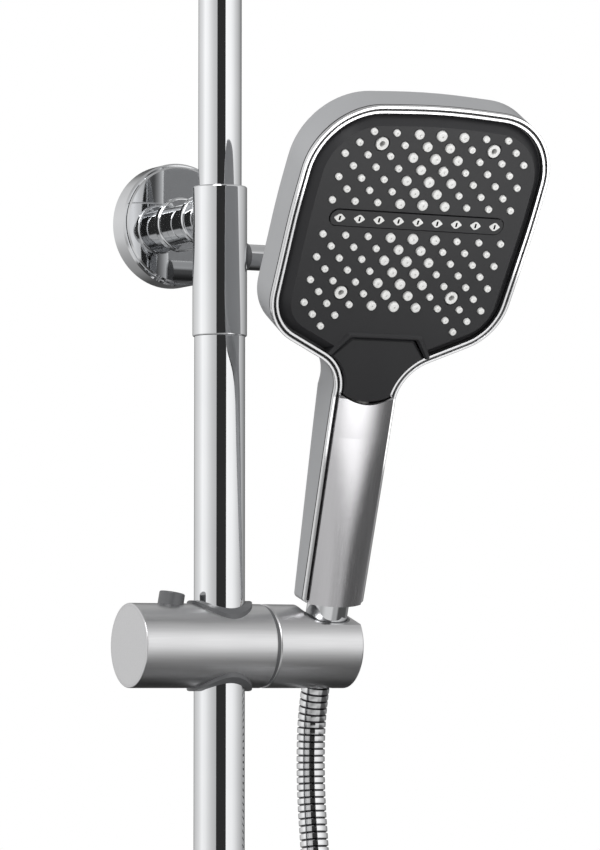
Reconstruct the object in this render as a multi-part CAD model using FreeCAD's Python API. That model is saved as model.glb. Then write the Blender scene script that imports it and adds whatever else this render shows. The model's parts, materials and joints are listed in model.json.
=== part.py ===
"""Shower riser: wall bracket, telescopic tubes, slider, tilting holder, hand shower and metal hose.

Millimetres. The wall is the plane y = 0 and the object stands in front of it, towards -Y. +Z is up.
The origin is the centre of the wall flange, on the wall. Heights on the riser are measured from it.
"""

import math
import os

import FreeCAD
import Part

Vec = FreeCAD.Vector

# Clearances
RUN_GAP = 0.06  # radial, between a shaft and the bore that it turns or slides in
SEAT_GAP = 0.05  # between pieces that are seated in each other and don't move
BODY_GAP = 0.3  # between pieces that move past each other without bearing

# Wall bracket, measured out from the wall
WALL_TO_RISER = 57.0
PLATE_R = 25.0
PLATE_THICK = 4.0
PLATE_STUD_R = 5.0
PLATE_STUD_LENGTH = 9.0
SCREW_SPACING = 34.0
SCREW_HOLE_R = 2.6
FLANGE_R = 31.0
FLANGE_RIM_DEPTH = 11.4
FLANGE_STEP = 1.6
FLANGE_DEPTH = 13.5
FLANGE_WALL = 1.6
FLANGE_RING_R = 13.6
FLANGE_RING_THICK = 2.6
RING_EDGE = 1.1
ARM_R = 9.75
ARM_END = 38.0
ARM_SPIGOT_R = 6.0
ARM_SPIGOT_LENGTH = 5.0
ARM_NUT_R = 12.5
ARM_NUT_WIDTH = 4.5

# Riser tubes and sleeve
UPPER_TUBE_R = 10.7
UPPER_TUBE_WALL = 1.0
UPPER_TUBE_TOP = 130.0
UPPER_TUBE_FOOT = -125.0
LOWER_TUBE_R = 12.5
LOWER_TUBE_WALL = 1.1
LOWER_TUBE_TOP = -28.0
LOWER_TUBE_FOOT = -338.0
SLEEVE_R = 13.4
SLEEVE_TOP = 14.5
SLEEVE_FOOT = -59.5
SLEEVE_EDGE = 0.9
SLEEVE_LIP = 2.0
GUIDE_LENGTH = 20.0
GUIDE_RING_R = 1.3
TUBE_PLUG_DEPTH = 15.0
COLLAR_THICK = 3.0
SPIGOT_R = 9.0
SPIGOT_LENGTH = 17.0
SPIGOT_BORE_R = 6.0
UNION_THREAD_R = 12.06
UNION_THREAD_LENGTH = 12.5
UNION_FLATS = 30.0
UNION_NECK_R = 9.5
UNION_FLANGE_THICK = 3.0
UNION_WASHER_THICK = 2.5
UNION_FLOOR = 4.0

# Lock knob on the sleeve
KNOB_R = 6.4
KNOB_LENGTH = 15.5
KNOB_HEIGHT = -19.5
KNOB_SCREW_R = 3.0
KNOB_CHAMFER = 0.8
KNOB_WASHER_R = 6.9
KNOB_WASHER_THICK = 0.9

# Slider on the riser, its axis along X
SLIDER_HEIGHT = -211.0
SLIDER_R = 20.6
SLIDER_LEFT = -49.1
SLIDER_RIGHT = 21.9
SLIDER_EDGE = 0.6
END_CAP_R = 19.3
END_CAP_THICK = 3.0
LINER_R = 16.0
LINER_LIP = 1.5
BRAKE_R = 9.0
BRAKE_NOSE_R = 5.0
BRAKE_STEP = 1.0
BRAKE_LENGTH = 23.0
BUTTON_PLACE = -30.2
BUTTON_LEAN = 10.0
BUTTON_R = 6.3
BUTTON_PROUD = 5.6
BUTTON_SKIRT = 3.6
BUTTON_TRAVEL = 3.0
BUTTON_EDGE = 0.7
BUTTON_FLOOR = 12.4
STEM_R = 2.4
STEM_TIP_R = 2.0
STEM_FOOT = -3.0
STEM_KNEE = 8.0
STEM_KNEE_ROOM = 1.2

# Holder at the slider's right end, turning about the slider's axis
FRICTION_RING_R = 20.0
FRICTION_RING_WIDTH = 1.6
HOLDER_RIGHT = 69.6
HOLDER_EDGE = 1.0
SEAT_PLACE = 56.7
SEAT_MOUTH = 15.5
SEAT_SWEEP_LEFT = -18.5
SEAT_SWEEP_R = 11.0
SEAT_INSERT_WALL = 1.3
SLOT_WIDTH = 15.5
PIVOT_R = 4.0
PIVOT_DEPTH = 5.5
PIVOT_HEAD_R = 6.4
PIVOT_HEAD_THICK = 3.0
PIVOT_BEARING = 11.0
PIVOT_WASHER_THICK = 1.0

# Hand shower. On the handle, heights run up its axis from the slider's axis. On the head, they run
# up the face from the jet bar. Both are measured to the front from the plane of the trim.
HANDLE_TILT = 18.0
HEAD_TILT = 31.5
FOOT_STANDOFF = 3.3
HANDLE_FOOT = SLIDER_R + FOOT_STANDOFF
HANDLE_FOOT_HALF = 16.6
NECK_HALF = 17.2
BEND_HEIGHT = 128.6
HEAD_DROP = 96.2
AXIS_DEPTH = 5.0
HEAD_DEPTH = 20.0
HANDLE_FOOT_DEPTH = 13.0
SHELL_WALL = 1.8
SHELL_BACK_R = 3.0
HANDLE_FOOT_R = 2.0
NECK_CORNER = (NECK_HALF, -82.1, 22.0)
SHOULDER_CORNER = (64.5, -59.6, 28.0)
SIDE_CROWN = (67.0, 1.4, 400.0)
TOP_CORNER = (66.2, 55.4, 36.0)
TOP_CROWN = (0.0, 59.2, 350.0)
TRIM_WIDTH = 3.7
TRIM_DEPTH = 2.6
TRIM_GROOVE = 0.9
TRIM_BEAD = 1.3
STRIP_GROOVE = 0.8
COVER_CROWN_FOOT = 7.0
COVER_CROWN_NECK = 4.0
COVER_EDGE = 2.0
COVER_CORNER = 3.0  # above the lowest point of its upper edge
COVER_WALL = 1.6
COVER_FLANGE = 1.5
PLATE_BORDER = 1.8
PLATE_GAP = 0.8
PLATEAU_SLOPE = 5.5
PLATEAU_RISE = 4.7
PLATEAU_WALL = 2.0

# Spray face
NOZZLE_PITCH = 12.2
NOZZLE_ROW = 6.05
BAR_TO_ROW = 8.95
NOZZLE_SMALL_R = 1.6
NOZZLE_LARGE_R = 2.25
NOZZLE_CENTRE_R = 2.5
NOZZLE_TAPER = 0.3
NOZZLE_PROUD = 0.9
MAT_THICK = 1.4
MIST_RING_R = 3.15
MIST_BORE_R = 1.5
MIST_RECESS_R = 4.0
MIST_RECESS_DEPTH = 0.8
MIST_PROUD = 0.5
JET_COUNT = 9
JET_END = 4.8  # from the end of the bar to its last jet
JET_HALF = (3.1, 2.6)
JET_TIP_R = 0.5
JET_SIDE_R = 1.9
JET_SLIT = (1.0, 2.3)
JET_PROUD = 0.9
JET_POCKET = 0.9
BAR_LENGTH = 94.5
BAR_WIDTH = 8.0
BAR_PROUD = 0.5
BAR_GROOVE = 0.6
BAR_GROOVE_DEPTH = 0.9
CHAMBER_INSET = 6.0
CHAMBER_DEPTH = 13.0
CHAMBER_WALL = 1.8
CHAMBER_FOOT = -58.6

# Mode button in the neck of the head
MODE_TOP = -63.6
MODE_TOP_HALF = 17.5
MODE_SHOULDER = -75.1
MODE_SHOULDER_HALF = 27.0
MODE_FOOT = -97.5
MODE_FOOT_R = 27.0
MODE_CORNER_R = 3.0
MODE_GAP = 0.6
MODE_PROUD = 1.9
MODE_THICK = 6.2
MODE_TRAVEL = 2.0
MODE_LIP = 3.3
MODE_BEVEL = 0.9
SPOOL_HEIGHT = -80.6
SPOOL_R = 4.0
SPOOL_LENGTH = 10.0
DIVERTER_R = 8.0
DIVERTER_WALL = 1.4
DIVERTER_DEPTH = 6.0
DUCT_R = 2.9
DUCT_WALL = 0.8

# Water inlet and the conical hose nut
WATER_TUBE_R = 5.0
WATER_TUBE_WALL = 1.1
INLET_THREAD_R = 8.6
INLET_THREAD_LENGTH = 12.0
INLET_SPIGOT_R = 6.4
INLET_SPIGOT_LENGTH = 11.0
INLET_BORE_R = 4.0
NUT_R = 10.3
NUT_FOOT_R = 8.2
NUT_FOOT = -10.0
NUT_BORE_R = 5.0
NUT_GAP = 0.4
WASHER_THICK = 2.5

# Hose: its route hangs in the plane of the hand shower, as (depth from the wall, height) points after
# the nut, and the rest of its length is a coil that hangs below
HOSE_R = 7.0
HOSE_BORE_R = 5.0
RIB_PITCH = 3.5
RIB_DEPTH = 0.9
HOSE_LEAD = 21.0
HOSE_ROUTE = ((45.3, -262.5), (46.1, -287.0), (50.4, -315.0), (53.4, -345.0), (55.0, -376.0))
HOSE_DROP = 17.0
COIL_R = 69.0
COIL_PITCH = 15.4
COIL_TURNS = 3
COIL_SPLAY = 12.0
TIE_WIDTH = 10.0
TIE_THICK = 1.6
TIE_GAP = 0.6
FERRULE_R = 8.2
FERRULE_LENGTH = 14.0
END_NUT_FLATS = 24.0
END_NUT_LENGTH = 15.0
END_NUT_THREAD_R = 9.3
END_NUT_FLOOR = 3.0

# Springs: wire radius and turns
SPRING_WIRE_R = 0.5
RELEASE_SPRING_TURNS = 3
BRAKE_SPRING_TURNS = 4
MODE_SPRING_TURNS = 5

# Frames that the pieces are drawn in. In WALL local Z points out of the wall, in ACROSS along +X, and
# in HANDLE and HEAD local Y points to the back and Z up the piece.
X_AXIS = Vec(1, 0, 0)
RISER = FreeCAD.Placement(Vec(0, -WALL_TO_RISER, 0), FreeCAD.Rotation())
WALL = FreeCAD.Placement(Vec(), FreeCAD.Rotation(X_AXIS, 90))
KNOB = FreeCAD.Placement(Vec(0, -WALL_TO_RISER, KNOB_HEIGHT), FreeCAD.Rotation(Vec(0, 1, 0), 90))
ACROSS = FreeCAD.Placement(Vec(0, -WALL_TO_RISER, SLIDER_HEIGHT), FreeCAD.Rotation(Vec(0, 1, 0), 90))
SLIDER = FreeCAD.Placement(Vec(0, -WALL_TO_RISER, SLIDER_HEIGHT), FreeCAD.Rotation())
PRESS = FreeCAD.Placement(
    Vec(BUTTON_PLACE, -WALL_TO_RISER, SLIDER_HEIGHT), FreeCAD.Rotation(Vec(0, 1, 0), BUTTON_LEAN)
)
SEAT = FreeCAD.Placement(
    Vec(SEAT_PLACE, -WALL_TO_RISER, SLIDER_HEIGHT), FreeCAD.Rotation(X_AXIS, HANDLE_TILT)
)
HANDLE = SEAT.multiply(FreeCAD.Placement(Vec(0, -AXIS_DEPTH, 0), FreeCAD.Rotation()))
BEND = FreeCAD.Placement(
    HANDLE.multVec(Vec(0, 0, BEND_HEIGHT)), FreeCAD.Rotation(X_AXIS, (HANDLE_TILT + HEAD_TILT) / 2)
)
HEAD_TURN = FreeCAD.Rotation(X_AXIS, HEAD_TILT)
HEAD = FreeCAD.Placement(BEND.Base + HEAD_TURN.multVec(Vec(0, 0, HEAD_DROP)), HEAD_TURN)

# Sizes that follow from those above
NUT_TAPER = (NUT_R - NUT_FOOT_R) / (SEAT_MOUTH - NUT_FOOT)
LAP = HEAD_DEPTH
PLATEAU_TOP = PLATEAU_RISE - TRIM_DEPTH
MAT_FRONT = PLATEAU_TOP - PLATEAU_WALL
SHELL_FLOOR = SHELL_WALL - HEAD_DEPTH
CHAMBER_FRONT = -TRIM_DEPTH - PLATE_BORDER
STRIP = TRIM_BEAD + STRIP_GROOVE
COVER_TOP = MODE_FOOT + COVER_CORNER
FAR = 4 * HEAD_DEPTH
STRAIGHT = 1e-6  # sine of a turn that counts as none

parts = {}


def placed(shape, frame):
    """A shape drawn in a local frame, at its place on the object."""
    moved = shape.copy()
    moved.Placement = frame.multiply(moved.Placement)
    return moved


def rod(radius, start, end):
    """Round bar on the local Z axis."""
    return Part.makeCylinder(radius, end - start, Vec(0, 0, start))


def pipe(outer, inner, start, end):
    return rod(outer, start, end).cut(rod(inner, start, end))


def turned(profile):
    """Solid turned about the local Z axis from its outline of (radius, height) points."""
    points = [Vec(radius, 0, height) for radius, height in profile]
    outline = Part.makePolygon(points + points[:1])
    return Part.Face(outline).revolve(Vec(), Vec(0, 0, 1), 360)


def hexagon(flats, start, end):
    """Hexagonal bar on the local Z axis, across its flats."""
    corner = flats / 2 / math.cos(math.pi / 6)
    points = [
        Vec(corner * math.cos(i * math.pi / 3), corner * math.sin(i * math.pi / 3), start) for i in range(7)
    ]
    return Part.Face(Part.makePolygon(points)).extrude(Vec(0, 0, end - start))


def block(low, high):
    size = high - low
    return Part.makeBox(size.x, size.y, size.z, low)


def mirrored(right_side):
    """Whole outline from the corners of its right side, foot to top, run anticlockwise."""
    left_side = [(-x, z, r) for x, z, r in reversed(right_side) if x > 0]
    return list(right_side) + left_side


def inset(corners, distance):
    """The same outline with its sides moved in by a distance."""
    count = len(corners)
    sides = []
    for i, (x, z, _) in enumerate(corners):
        next_x, next_z, _ = corners[(i + 1) % count]
        length = math.hypot(next_x - x, next_z - z)
        along = ((next_x - x) / length, (next_z - z) / length)
        sides.append((x - along[1] * distance, z + along[0] * distance, along))
    moved = []
    for i, (_, _, radius) in enumerate(corners):
        last_x, last_z, last = sides[i - 1]
        x, z, along = sides[i]
        cross = last[0] * along[1] - last[1] * along[0]
        if abs(cross) < STRAIGHT:
            moved.append((x, z, radius))
            continue
        step = ((x - last_x) * along[1] - (z - last_z) * along[0]) / cross
        change = -distance if cross > 0 else distance
        moved_radius = max(radius + change, 0) if radius else 0
        moved.append((last_x + last[0] * step, last_z + last[1] * step, moved_radius))
    return moved


def rounded(corners, front=0.0):
    """Closed wire across the front, its (x, height, radius) corners rounded by tangent arcs."""
    count = len(corners)
    points = [Vec(x, -front, z) for x, z, _ in corners]
    edges = []
    ends = []
    for i, here in enumerate(points):
        radius = corners[i][2]
        arrive = (here - points[i - 1]).normalize()
        leave = (points[(i + 1) % count] - here).normalize()
        half_turn = arrive.getAngle(leave) / 2
        reach = radius * math.tan(half_turn)
        first = here - arrive * reach
        last = here + leave * reach
        if reach > 0:
            middle = here + (leave - arrive).normalize() * radius * (1 / math.cos(half_turn) - 1)
            edges.append(Part.Arc(first, middle, last).toShape())
        ends.append((first, last))
    for i in range(count):
        edges.append(Part.LineSegment(ends[i - 1][1], ends[i][0]).toShape())
    return Part.Wire(Part.__sortEdges__(edges))


def prism(corners, front, back):
    """Plate with a rounded outline, between two distances in front of the trim's plane."""
    return Part.Face(rounded(corners, front)).extrude(Vec(0, front - back, 0))


def swell(lower, lower_front, upper, upper_front):
    """Sloping plate between two outlines of as many corners."""
    return Part.makeLoft([rounded(lower, lower_front), rounded(upper, upper_front)], True, True)


HEAD_OUTLINE = mirrored(
    [(NECK_HALF, -HEAD_DROP - LAP, 0), NECK_CORNER, SHOULDER_CORNER, SIDE_CROWN, TOP_CORNER, TOP_CROWN]
)
HANDLE_OUTLINE = mirrored(
    [
        (HANDLE_FOOT_HALF, HANDLE_FOOT, HANDLE_FOOT_R),
        (NECK_HALF, BEND_HEIGHT - LAP, 0),
        (NECK_HALF, BEND_HEIGHT + LAP, 0),
    ]
)


def joined(head_piece, handle_piece):
    """One piece from its stretch on the head and its stretch on the handle, mitred at the bend."""
    half = Vec(FAR, FAR, FAR)
    above = placed(block(Vec(-FAR, -FAR, 0), half), BEND)
    below = placed(block(-half, Vec(FAR, FAR, 0)), BEND)
    upper = placed(head_piece, HEAD).cut(below)
    lower = placed(handle_piece, HANDLE).cut(above)
    return upper.fuse(lower).removeSplitter()


def bent(distance, front, back):
    """Plate of the whole hand shower's outline, moved in by a distance."""
    head = prism(inset(HEAD_OUTLINE, distance), front, back)
    handle = prism(inset(HANDLE_OUTLINE, distance), front, back)
    return joined(head, handle)


def turn_of_wire(start, go, end, arrive):
    """Two tangent arcs from a point and direction to another point and direction."""
    across = end - start
    both = go + arrive
    a = 2 - 2 * go.dot(arrive)
    b = 2 * across.dot(both)
    reach = (math.sqrt(b * b + 4 * a * across.dot(across)) - b) / (2 * a)
    corners = (start + go * reach, end - arrive * reach)
    middle = (corners[0] + corners[1]) / 2
    arcs = []
    for first, corner, last in ((start, corners[0], middle), (middle, corners[1], end)):
        chord = (first + last) / 2
        half_turn = (corner - first).getAngle(last - corner) / 2
        top = chord + (corner - chord) * (math.tan(half_turn / 2) / math.tan(half_turn))
        arcs.append(Part.Arc(first, top, last).toShape())
    return arcs


def swept(path, radius):
    """Round solid along a wire that starts along its first edge."""
    first = path.Edges[0]
    at = first.FirstParameter
    section = Part.Wire(Part.makeCircle(radius, first.valueAt(at), first.tangentAt(at)))
    return path.makePipeShell([section], True, False)


def spring(radius, start, end, turns):
    """Coil spring on the local Z axis between two heights."""
    low = start + SPRING_WIRE_R
    rise = (end - start - 2 * SPRING_WIRE_R) / turns
    steps = 4 * turns

    def on_turn(i):
        angle = i * math.pi / 2
        place = Vec(radius * math.cos(angle), radius * math.sin(angle), low + rise * i / 4)
        along = Vec(-radius * math.sin(angle), radius * math.cos(angle), rise / 2 / math.pi)
        return place, along.normalize()

    edges = []
    for i in range(steps):
        edges += turn_of_wire(*on_turn(i), *on_turn(i + 1))
    return swept(Part.Wire(edges), SPRING_WIRE_R)


def softened(ring, radius, above):
    """Rounds the outer rims of a ring that lie above a height."""
    rims = [edge for edge in ring.Edges if edge.Closed and edge.CenterOfMass.z > above]
    return ring.makeFillet(RING_EDGE, [rim for rim in rims if rim.Curve.Radius > radius - SEAT_GAP])


def make_wall_bracket():
    plate = rod(PLATE_R, 0, PLATE_THICK).fuse(rod(PLATE_STUD_R, 0, PLATE_THICK + PLATE_STUD_LENGTH))
    for side in (-1, 1):
        plate = plate.cut(Part.makeCylinder(SCREW_HOLE_R, PLATE_THICK, Vec(side * SCREW_SPACING / 2, 0, 0)))
    parts["wall_plate"] = placed(plate, WALL)

    inner_r = FLANGE_R - FLANGE_WALL
    hole_r = ARM_R + SEAT_GAP
    cup = turned(
        [
            (inner_r, 0),
            (FLANGE_R, 0),
            (FLANGE_R, FLANGE_RIM_DEPTH),
            (FLANGE_R - FLANGE_STEP / 2, FLANGE_RIM_DEPTH + FLANGE_STEP / 2),
            (FLANGE_R - FLANGE_STEP, FLANGE_RIM_DEPTH + FLANGE_STEP / 2),
            (FLANGE_R - FLANGE_STEP, FLANGE_DEPTH - FLANGE_STEP / 2),
            (FLANGE_R - 3 * FLANGE_STEP / 2, FLANGE_DEPTH),
            (hole_r, FLANGE_DEPTH),
            (hole_r, FLANGE_DEPTH - FLANGE_WALL),
            (inner_r, FLANGE_DEPTH - FLANGE_WALL - FLANGE_STEP),
        ]
    )
    parts["wall_flange"] = placed(cup, WALL)
    ring_front = FLANGE_DEPTH + FLANGE_RING_THICK
    ring = pipe(FLANGE_RING_R, ARM_R + SEAT_GAP, FLANGE_DEPTH, ring_front)
    parts["flange_ring"] = placed(softened(ring, FLANGE_RING_R, FLANGE_DEPTH + RING_EDGE), WALL)

    stud_end = PLATE_THICK + PLATE_STUD_LENGTH
    arm = rod(ARM_R, PLATE_THICK + SEAT_GAP, ARM_END)
    arm = arm.cut(rod(PLATE_STUD_R + SEAT_GAP, PLATE_THICK, stud_end + SEAT_GAP))
    arm = arm.fuse(rod(ARM_SPIGOT_R, ARM_END, ARM_END + ARM_SPIGOT_LENGTH))
    parts["bracket_arm"] = placed(arm, WALL)
    nut_middle = ARM_END
    nut = pipe(ARM_NUT_R, ARM_R + SEAT_GAP, nut_middle - ARM_NUT_WIDTH / 2, nut_middle + ARM_NUT_WIDTH / 2)
    parts["arm_nut"] = placed(softened(nut, ARM_NUT_R, 0), WALL)


def make_riser():
    lower_bore = LOWER_TUBE_R - LOWER_TUBE_WALL
    upper_bore = UPPER_TUBE_R - UPPER_TUBE_WALL
    sleeve_bore = LOWER_TUBE_R + SEAT_GAP
    knob_hole = placed(rod(KNOB_SCREW_R + RUN_GAP, 0, SLEEVE_R + KNOB_LENGTH), KNOB)

    shell = rod(SLEEVE_R, SLEEVE_FOOT, SLEEVE_TOP)
    rims = [edge for edge in shell.Edges if edge.Closed]
    shell = placed(shell.makeFillet(SLEEVE_EDGE, rims), RISER)
    boss = placed(rod(ARM_R, ARM_END, WALL_TO_RISER), WALL)
    arm_socket = placed(rod(ARM_SPIGOT_R + SEAT_GAP, ARM_END, ARM_END + ARM_SPIGOT_LENGTH), WALL)
    bush_top = SLEEVE_TOP - SLEEVE_LIP
    bore = placed(rod(sleeve_bore, SLEEVE_FOOT, bush_top), RISER)
    mouth = placed(rod(UPPER_TUBE_R + BODY_GAP, bush_top, SLEEVE_TOP), RISER)
    sleeve = shell.fuse(boss)
    for cutter in (arm_socket, bore, mouth, knob_hole):
        sleeve = sleeve.cut(cutter)
    parts["riser_sleeve"] = sleeve

    bush = pipe(LOWER_TUBE_R, UPPER_TUBE_R + RUN_GAP, LOWER_TUBE_TOP, bush_top)
    parts["sleeve_bush"] = placed(bush, RISER).cut(knob_hole)
    parts["lower_riser"] = placed(pipe(LOWER_TUBE_R, lower_bore, LOWER_TUBE_FOOT, LOWER_TUBE_TOP), RISER)
    parts["upper_riser"] = placed(pipe(UPPER_TUBE_R, upper_bore, UPPER_TUBE_FOOT, UPPER_TUBE_TOP), RISER)

    guide_r = lower_bore - RUN_GAP
    guide_foot = UPPER_TUBE_FOOT - GUIDE_LENGTH
    guide = rod(guide_r, guide_foot, UPPER_TUBE_FOOT)
    guide = guide.fuse(rod(upper_bore - SEAT_GAP, UPPER_TUBE_FOOT, UPPER_TUBE_FOOT + TUBE_PLUG_DEPTH))
    guide = guide.cut(rod(SPIGOT_BORE_R, guide_foot, UPPER_TUBE_FOOT + TUBE_PLUG_DEPTH))
    rings = []
    for share in (0.3, 0.7):
        height = guide_foot + share * GUIDE_LENGTH
        groove = pipe(guide_r, guide_r - 2 * GUIDE_RING_R, height - GUIDE_RING_R, height + GUIDE_RING_R)
        guide = guide.cut(groove)
        rings.append(Part.makeTorus(guide_r - GUIDE_RING_R, GUIDE_RING_R - SEAT_GAP, Vec(0, 0, height)))
    parts["riser_guide"] = placed(guide, RISER)
    parts["guide_o_rings"] = placed(Part.makeCompound(rings), RISER)

    collar_top = UPPER_TUBE_TOP + COLLAR_THICK
    spigot = rod(upper_bore - SEAT_GAP, UPPER_TUBE_TOP - TUBE_PLUG_DEPTH, UPPER_TUBE_TOP)
    spigot = spigot.fuse(rod(UPPER_TUBE_R, UPPER_TUBE_TOP, collar_top))
    spigot = spigot.fuse(rod(SPIGOT_R, collar_top, collar_top + SPIGOT_LENGTH))
    spigot = spigot.cut(rod(SPIGOT_BORE_R, UPPER_TUBE_TOP - TUBE_PLUG_DEPTH, collar_top + SPIGOT_LENGTH))
    parts["top_spigot"] = placed(spigot, RISER)


def make_union():
    """Union at the foot of the lower tube: tail, loose nut and washer."""
    bore = LOWER_TUBE_R - LOWER_TUBE_WALL
    flange_r = UNION_THREAD_R - BODY_GAP
    collar_foot = LOWER_TUBE_FOOT - COLLAR_THICK
    nut_top = collar_foot - BODY_GAP
    cavity_top = nut_top - UNION_FLOOR
    flange_foot = cavity_top - UNION_FLANGE_THICK
    washer_foot = flange_foot - UNION_WASHER_THICK
    nut_foot = washer_foot - UNION_THREAD_LENGTH

    tail = rod(bore - SEAT_GAP, LOWER_TUBE_FOOT, LOWER_TUBE_FOOT + TUBE_PLUG_DEPTH)
    tail = tail.fuse(rod(LOWER_TUBE_R, collar_foot, LOWER_TUBE_FOOT))
    tail = tail.fuse(rod(UNION_NECK_R, cavity_top, collar_foot))
    tail = tail.fuse(rod(flange_r, flange_foot, cavity_top))
    tail = tail.cut(rod(SPIGOT_BORE_R, flange_foot, LOWER_TUBE_FOOT + TUBE_PLUG_DEPTH))
    parts["bottom_tail"] = placed(tail, RISER)

    nut = hexagon(UNION_FLATS, nut_foot, nut_top)
    nut = nut.cut(rod(UNION_NECK_R + BODY_GAP, cavity_top, nut_top))
    nut = nut.cut(rod(flange_r + SEAT_GAP, washer_foot, cavity_top))
    nut = nut.cut(rod(UNION_THREAD_R, nut_foot, washer_foot))
    parts["bottom_nut"] = placed(nut, RISER)
    parts["bottom_washer"] = placed(pipe(flange_r, SPIGOT_BORE_R, washer_foot, flange_foot), RISER)


def make_lock_knob():
    washer_end = SLEEVE_R + KNOB_WASHER_THICK
    washer_start = math.sqrt(SLEEVE_R**2 - KNOB_WASHER_R**2)
    washer = pipe(KNOB_WASHER_R, KNOB_SCREW_R + RUN_GAP, washer_start, washer_end)
    sleeve = placed(rod(SLEEVE_R + SEAT_GAP, SLEEVE_FOOT, SLEEVE_TOP), RISER)
    parts["knob_washer"] = placed(washer, KNOB).cut(sleeve)
    knob_start = washer_end + BODY_GAP
    knob_end = knob_start + KNOB_LENGTH
    tip = UPPER_TUBE_R + BODY_GAP
    knob = turned(
        [
            (0, tip),
            (KNOB_SCREW_R, tip),
            (KNOB_SCREW_R, knob_start),
            (KNOB_R, knob_start),
            (KNOB_R, knob_end - KNOB_CHAMFER),
            (KNOB_R - KNOB_CHAMFER, knob_end),
            (0, knob_end),
        ]
    )
    parts["lock_knob"] = placed(knob, KNOB)


def placed_at(x):
    """Upright frame on the slider's axis."""
    return FreeCAD.Placement(Vec(x, -WALL_TO_RISER, SLIDER_HEIGHT), FreeCAD.Rotation())


def make_slider():
    body = rod(SLIDER_R, SLIDER_LEFT, SLIDER_RIGHT)
    rims = [edge for edge in body.Edges if edge.Closed]
    body = placed(body.makeFillet(SLIDER_EDGE, rims), ACROSS)
    cap_back = SLIDER_LEFT + END_CAP_THICK
    reach = 2 * SLIDER_R
    tube_hole = placed(rod(LINER_R + SEAT_GAP, -reach, reach), SLIDER)
    brake_bore = placed(rod(BRAKE_R + RUN_GAP, cap_back, 0), ACROSS)
    cap_seat = placed(rod(END_CAP_R + SEAT_GAP, SLIDER_LEFT, cap_back), ACROSS)
    button_hole = placed(rod(BUTTON_R + RUN_GAP, BUTTON_FLOOR, reach), PRESS)
    stem_hole = placed(rod(STEM_R + RUN_GAP, 0, BUTTON_FLOOR), PRESS)
    pivot_floor = SLIDER_RIGHT - PIVOT_DEPTH - SEAT_GAP
    pivot_hole = placed(rod(PIVOT_R + SEAT_GAP, pivot_floor, SLIDER_RIGHT), ACROSS)
    for cutter in (tube_hole, brake_bore, cap_seat, button_hole, stem_hole, pivot_hole):
        body = body.cut(cutter)
    parts["slider_body"] = body

    lips = placed(rod(SLIDER_R + LINER_LIP, -reach, reach), ACROSS)
    liner = placed(pipe(LINER_R, LOWER_TUBE_R + RUN_GAP, -reach, reach), SLIDER)
    parts["slider_liner"] = liner.common(lips).cut(placed(rod(BRAKE_NOSE_R + BODY_GAP, -reach, 0), ACROSS))
    parts["slider_end_cap"] = placed(rod(END_CAP_R, SLIDER_LEFT, cap_back), ACROSS)

    shoe_front = -LOWER_TUBE_R
    shoe_back = shoe_front - BRAKE_LENGTH
    shoe = rod(BRAKE_R, shoe_back, -LINER_R - BRAKE_STEP).fuse(rod(BRAKE_NOSE_R, shoe_back, 0))
    shoe = placed(shoe, ACROSS)
    shoe = shoe.cut(placed(rod(LOWER_TUBE_R + RUN_GAP, -reach, reach), SLIDER))
    lean = math.radians(BUTTON_LEAN)
    knee = placed_at(BUTTON_PLACE + STEM_KNEE * math.tan(lean))
    knee_floor = (STEM_KNEE - BUTTON_TRAVEL) * math.cos(lean) - STEM_R * math.sin(lean) - BODY_GAP
    shoe = shoe.cut(placed(rod(STEM_TIP_R + RUN_GAP, -reach, reach), knee))
    shoe = shoe.cut(placed(rod(STEM_R + STEM_KNEE_ROOM, knee_floor, reach), knee))
    right_side = placed(block(Vec(-reach, -reach, -shoe_front / 2), Vec(reach, reach, reach)), ACROSS)
    parts["brake_shoe"] = shoe.cut(right_side)
    shoe_spring = spring(BRAKE_R / 2, cap_back + SEAT_GAP, shoe_back - 2 * BODY_GAP, BRAKE_SPRING_TURNS)
    parts["brake_spring"] = placed(shoe_spring, ACROSS)

    top = SLIDER_R + BUTTON_PROUD
    skirt_foot = SLIDER_R - BUTTON_SKIRT
    button = rod(BUTTON_R, skirt_foot, top)
    rim = [edge for edge in button.Edges if edge.Closed and edge.BoundBox.ZMin > skirt_foot + BUTTON_SKIRT]
    button = button.makeFillet(BUTTON_EDGE, rim)
    button = placed(button.fuse(rod(STEM_R, STEM_KNEE, skirt_foot)), PRESS)
    parts["release_button"] = button.fuse(placed(rod(STEM_TIP_R, STEM_FOOT, STEM_KNEE + STEM_R), knee))
    coil_r = (BUTTON_R + STEM_R) / 2
    coil = spring(coil_r, BUTTON_FLOOR + SEAT_GAP, skirt_foot - SEAT_GAP, RELEASE_SPRING_TURNS)
    parts["release_spring"] = placed(coil, PRESS)


def nut_radius(height):
    """Radius of the hose nut's cone."""
    return NUT_R - NUT_TAPER * (SEAT_MOUTH - height)


def cone(extra, start, end):
    """Cone about the handle's axis that stands off the hose nut by a distance."""
    height = end - start
    return Part.makeCone(nut_radius(start) + extra, nut_radius(end) + extra, height, Vec(0, 0, start))


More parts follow.
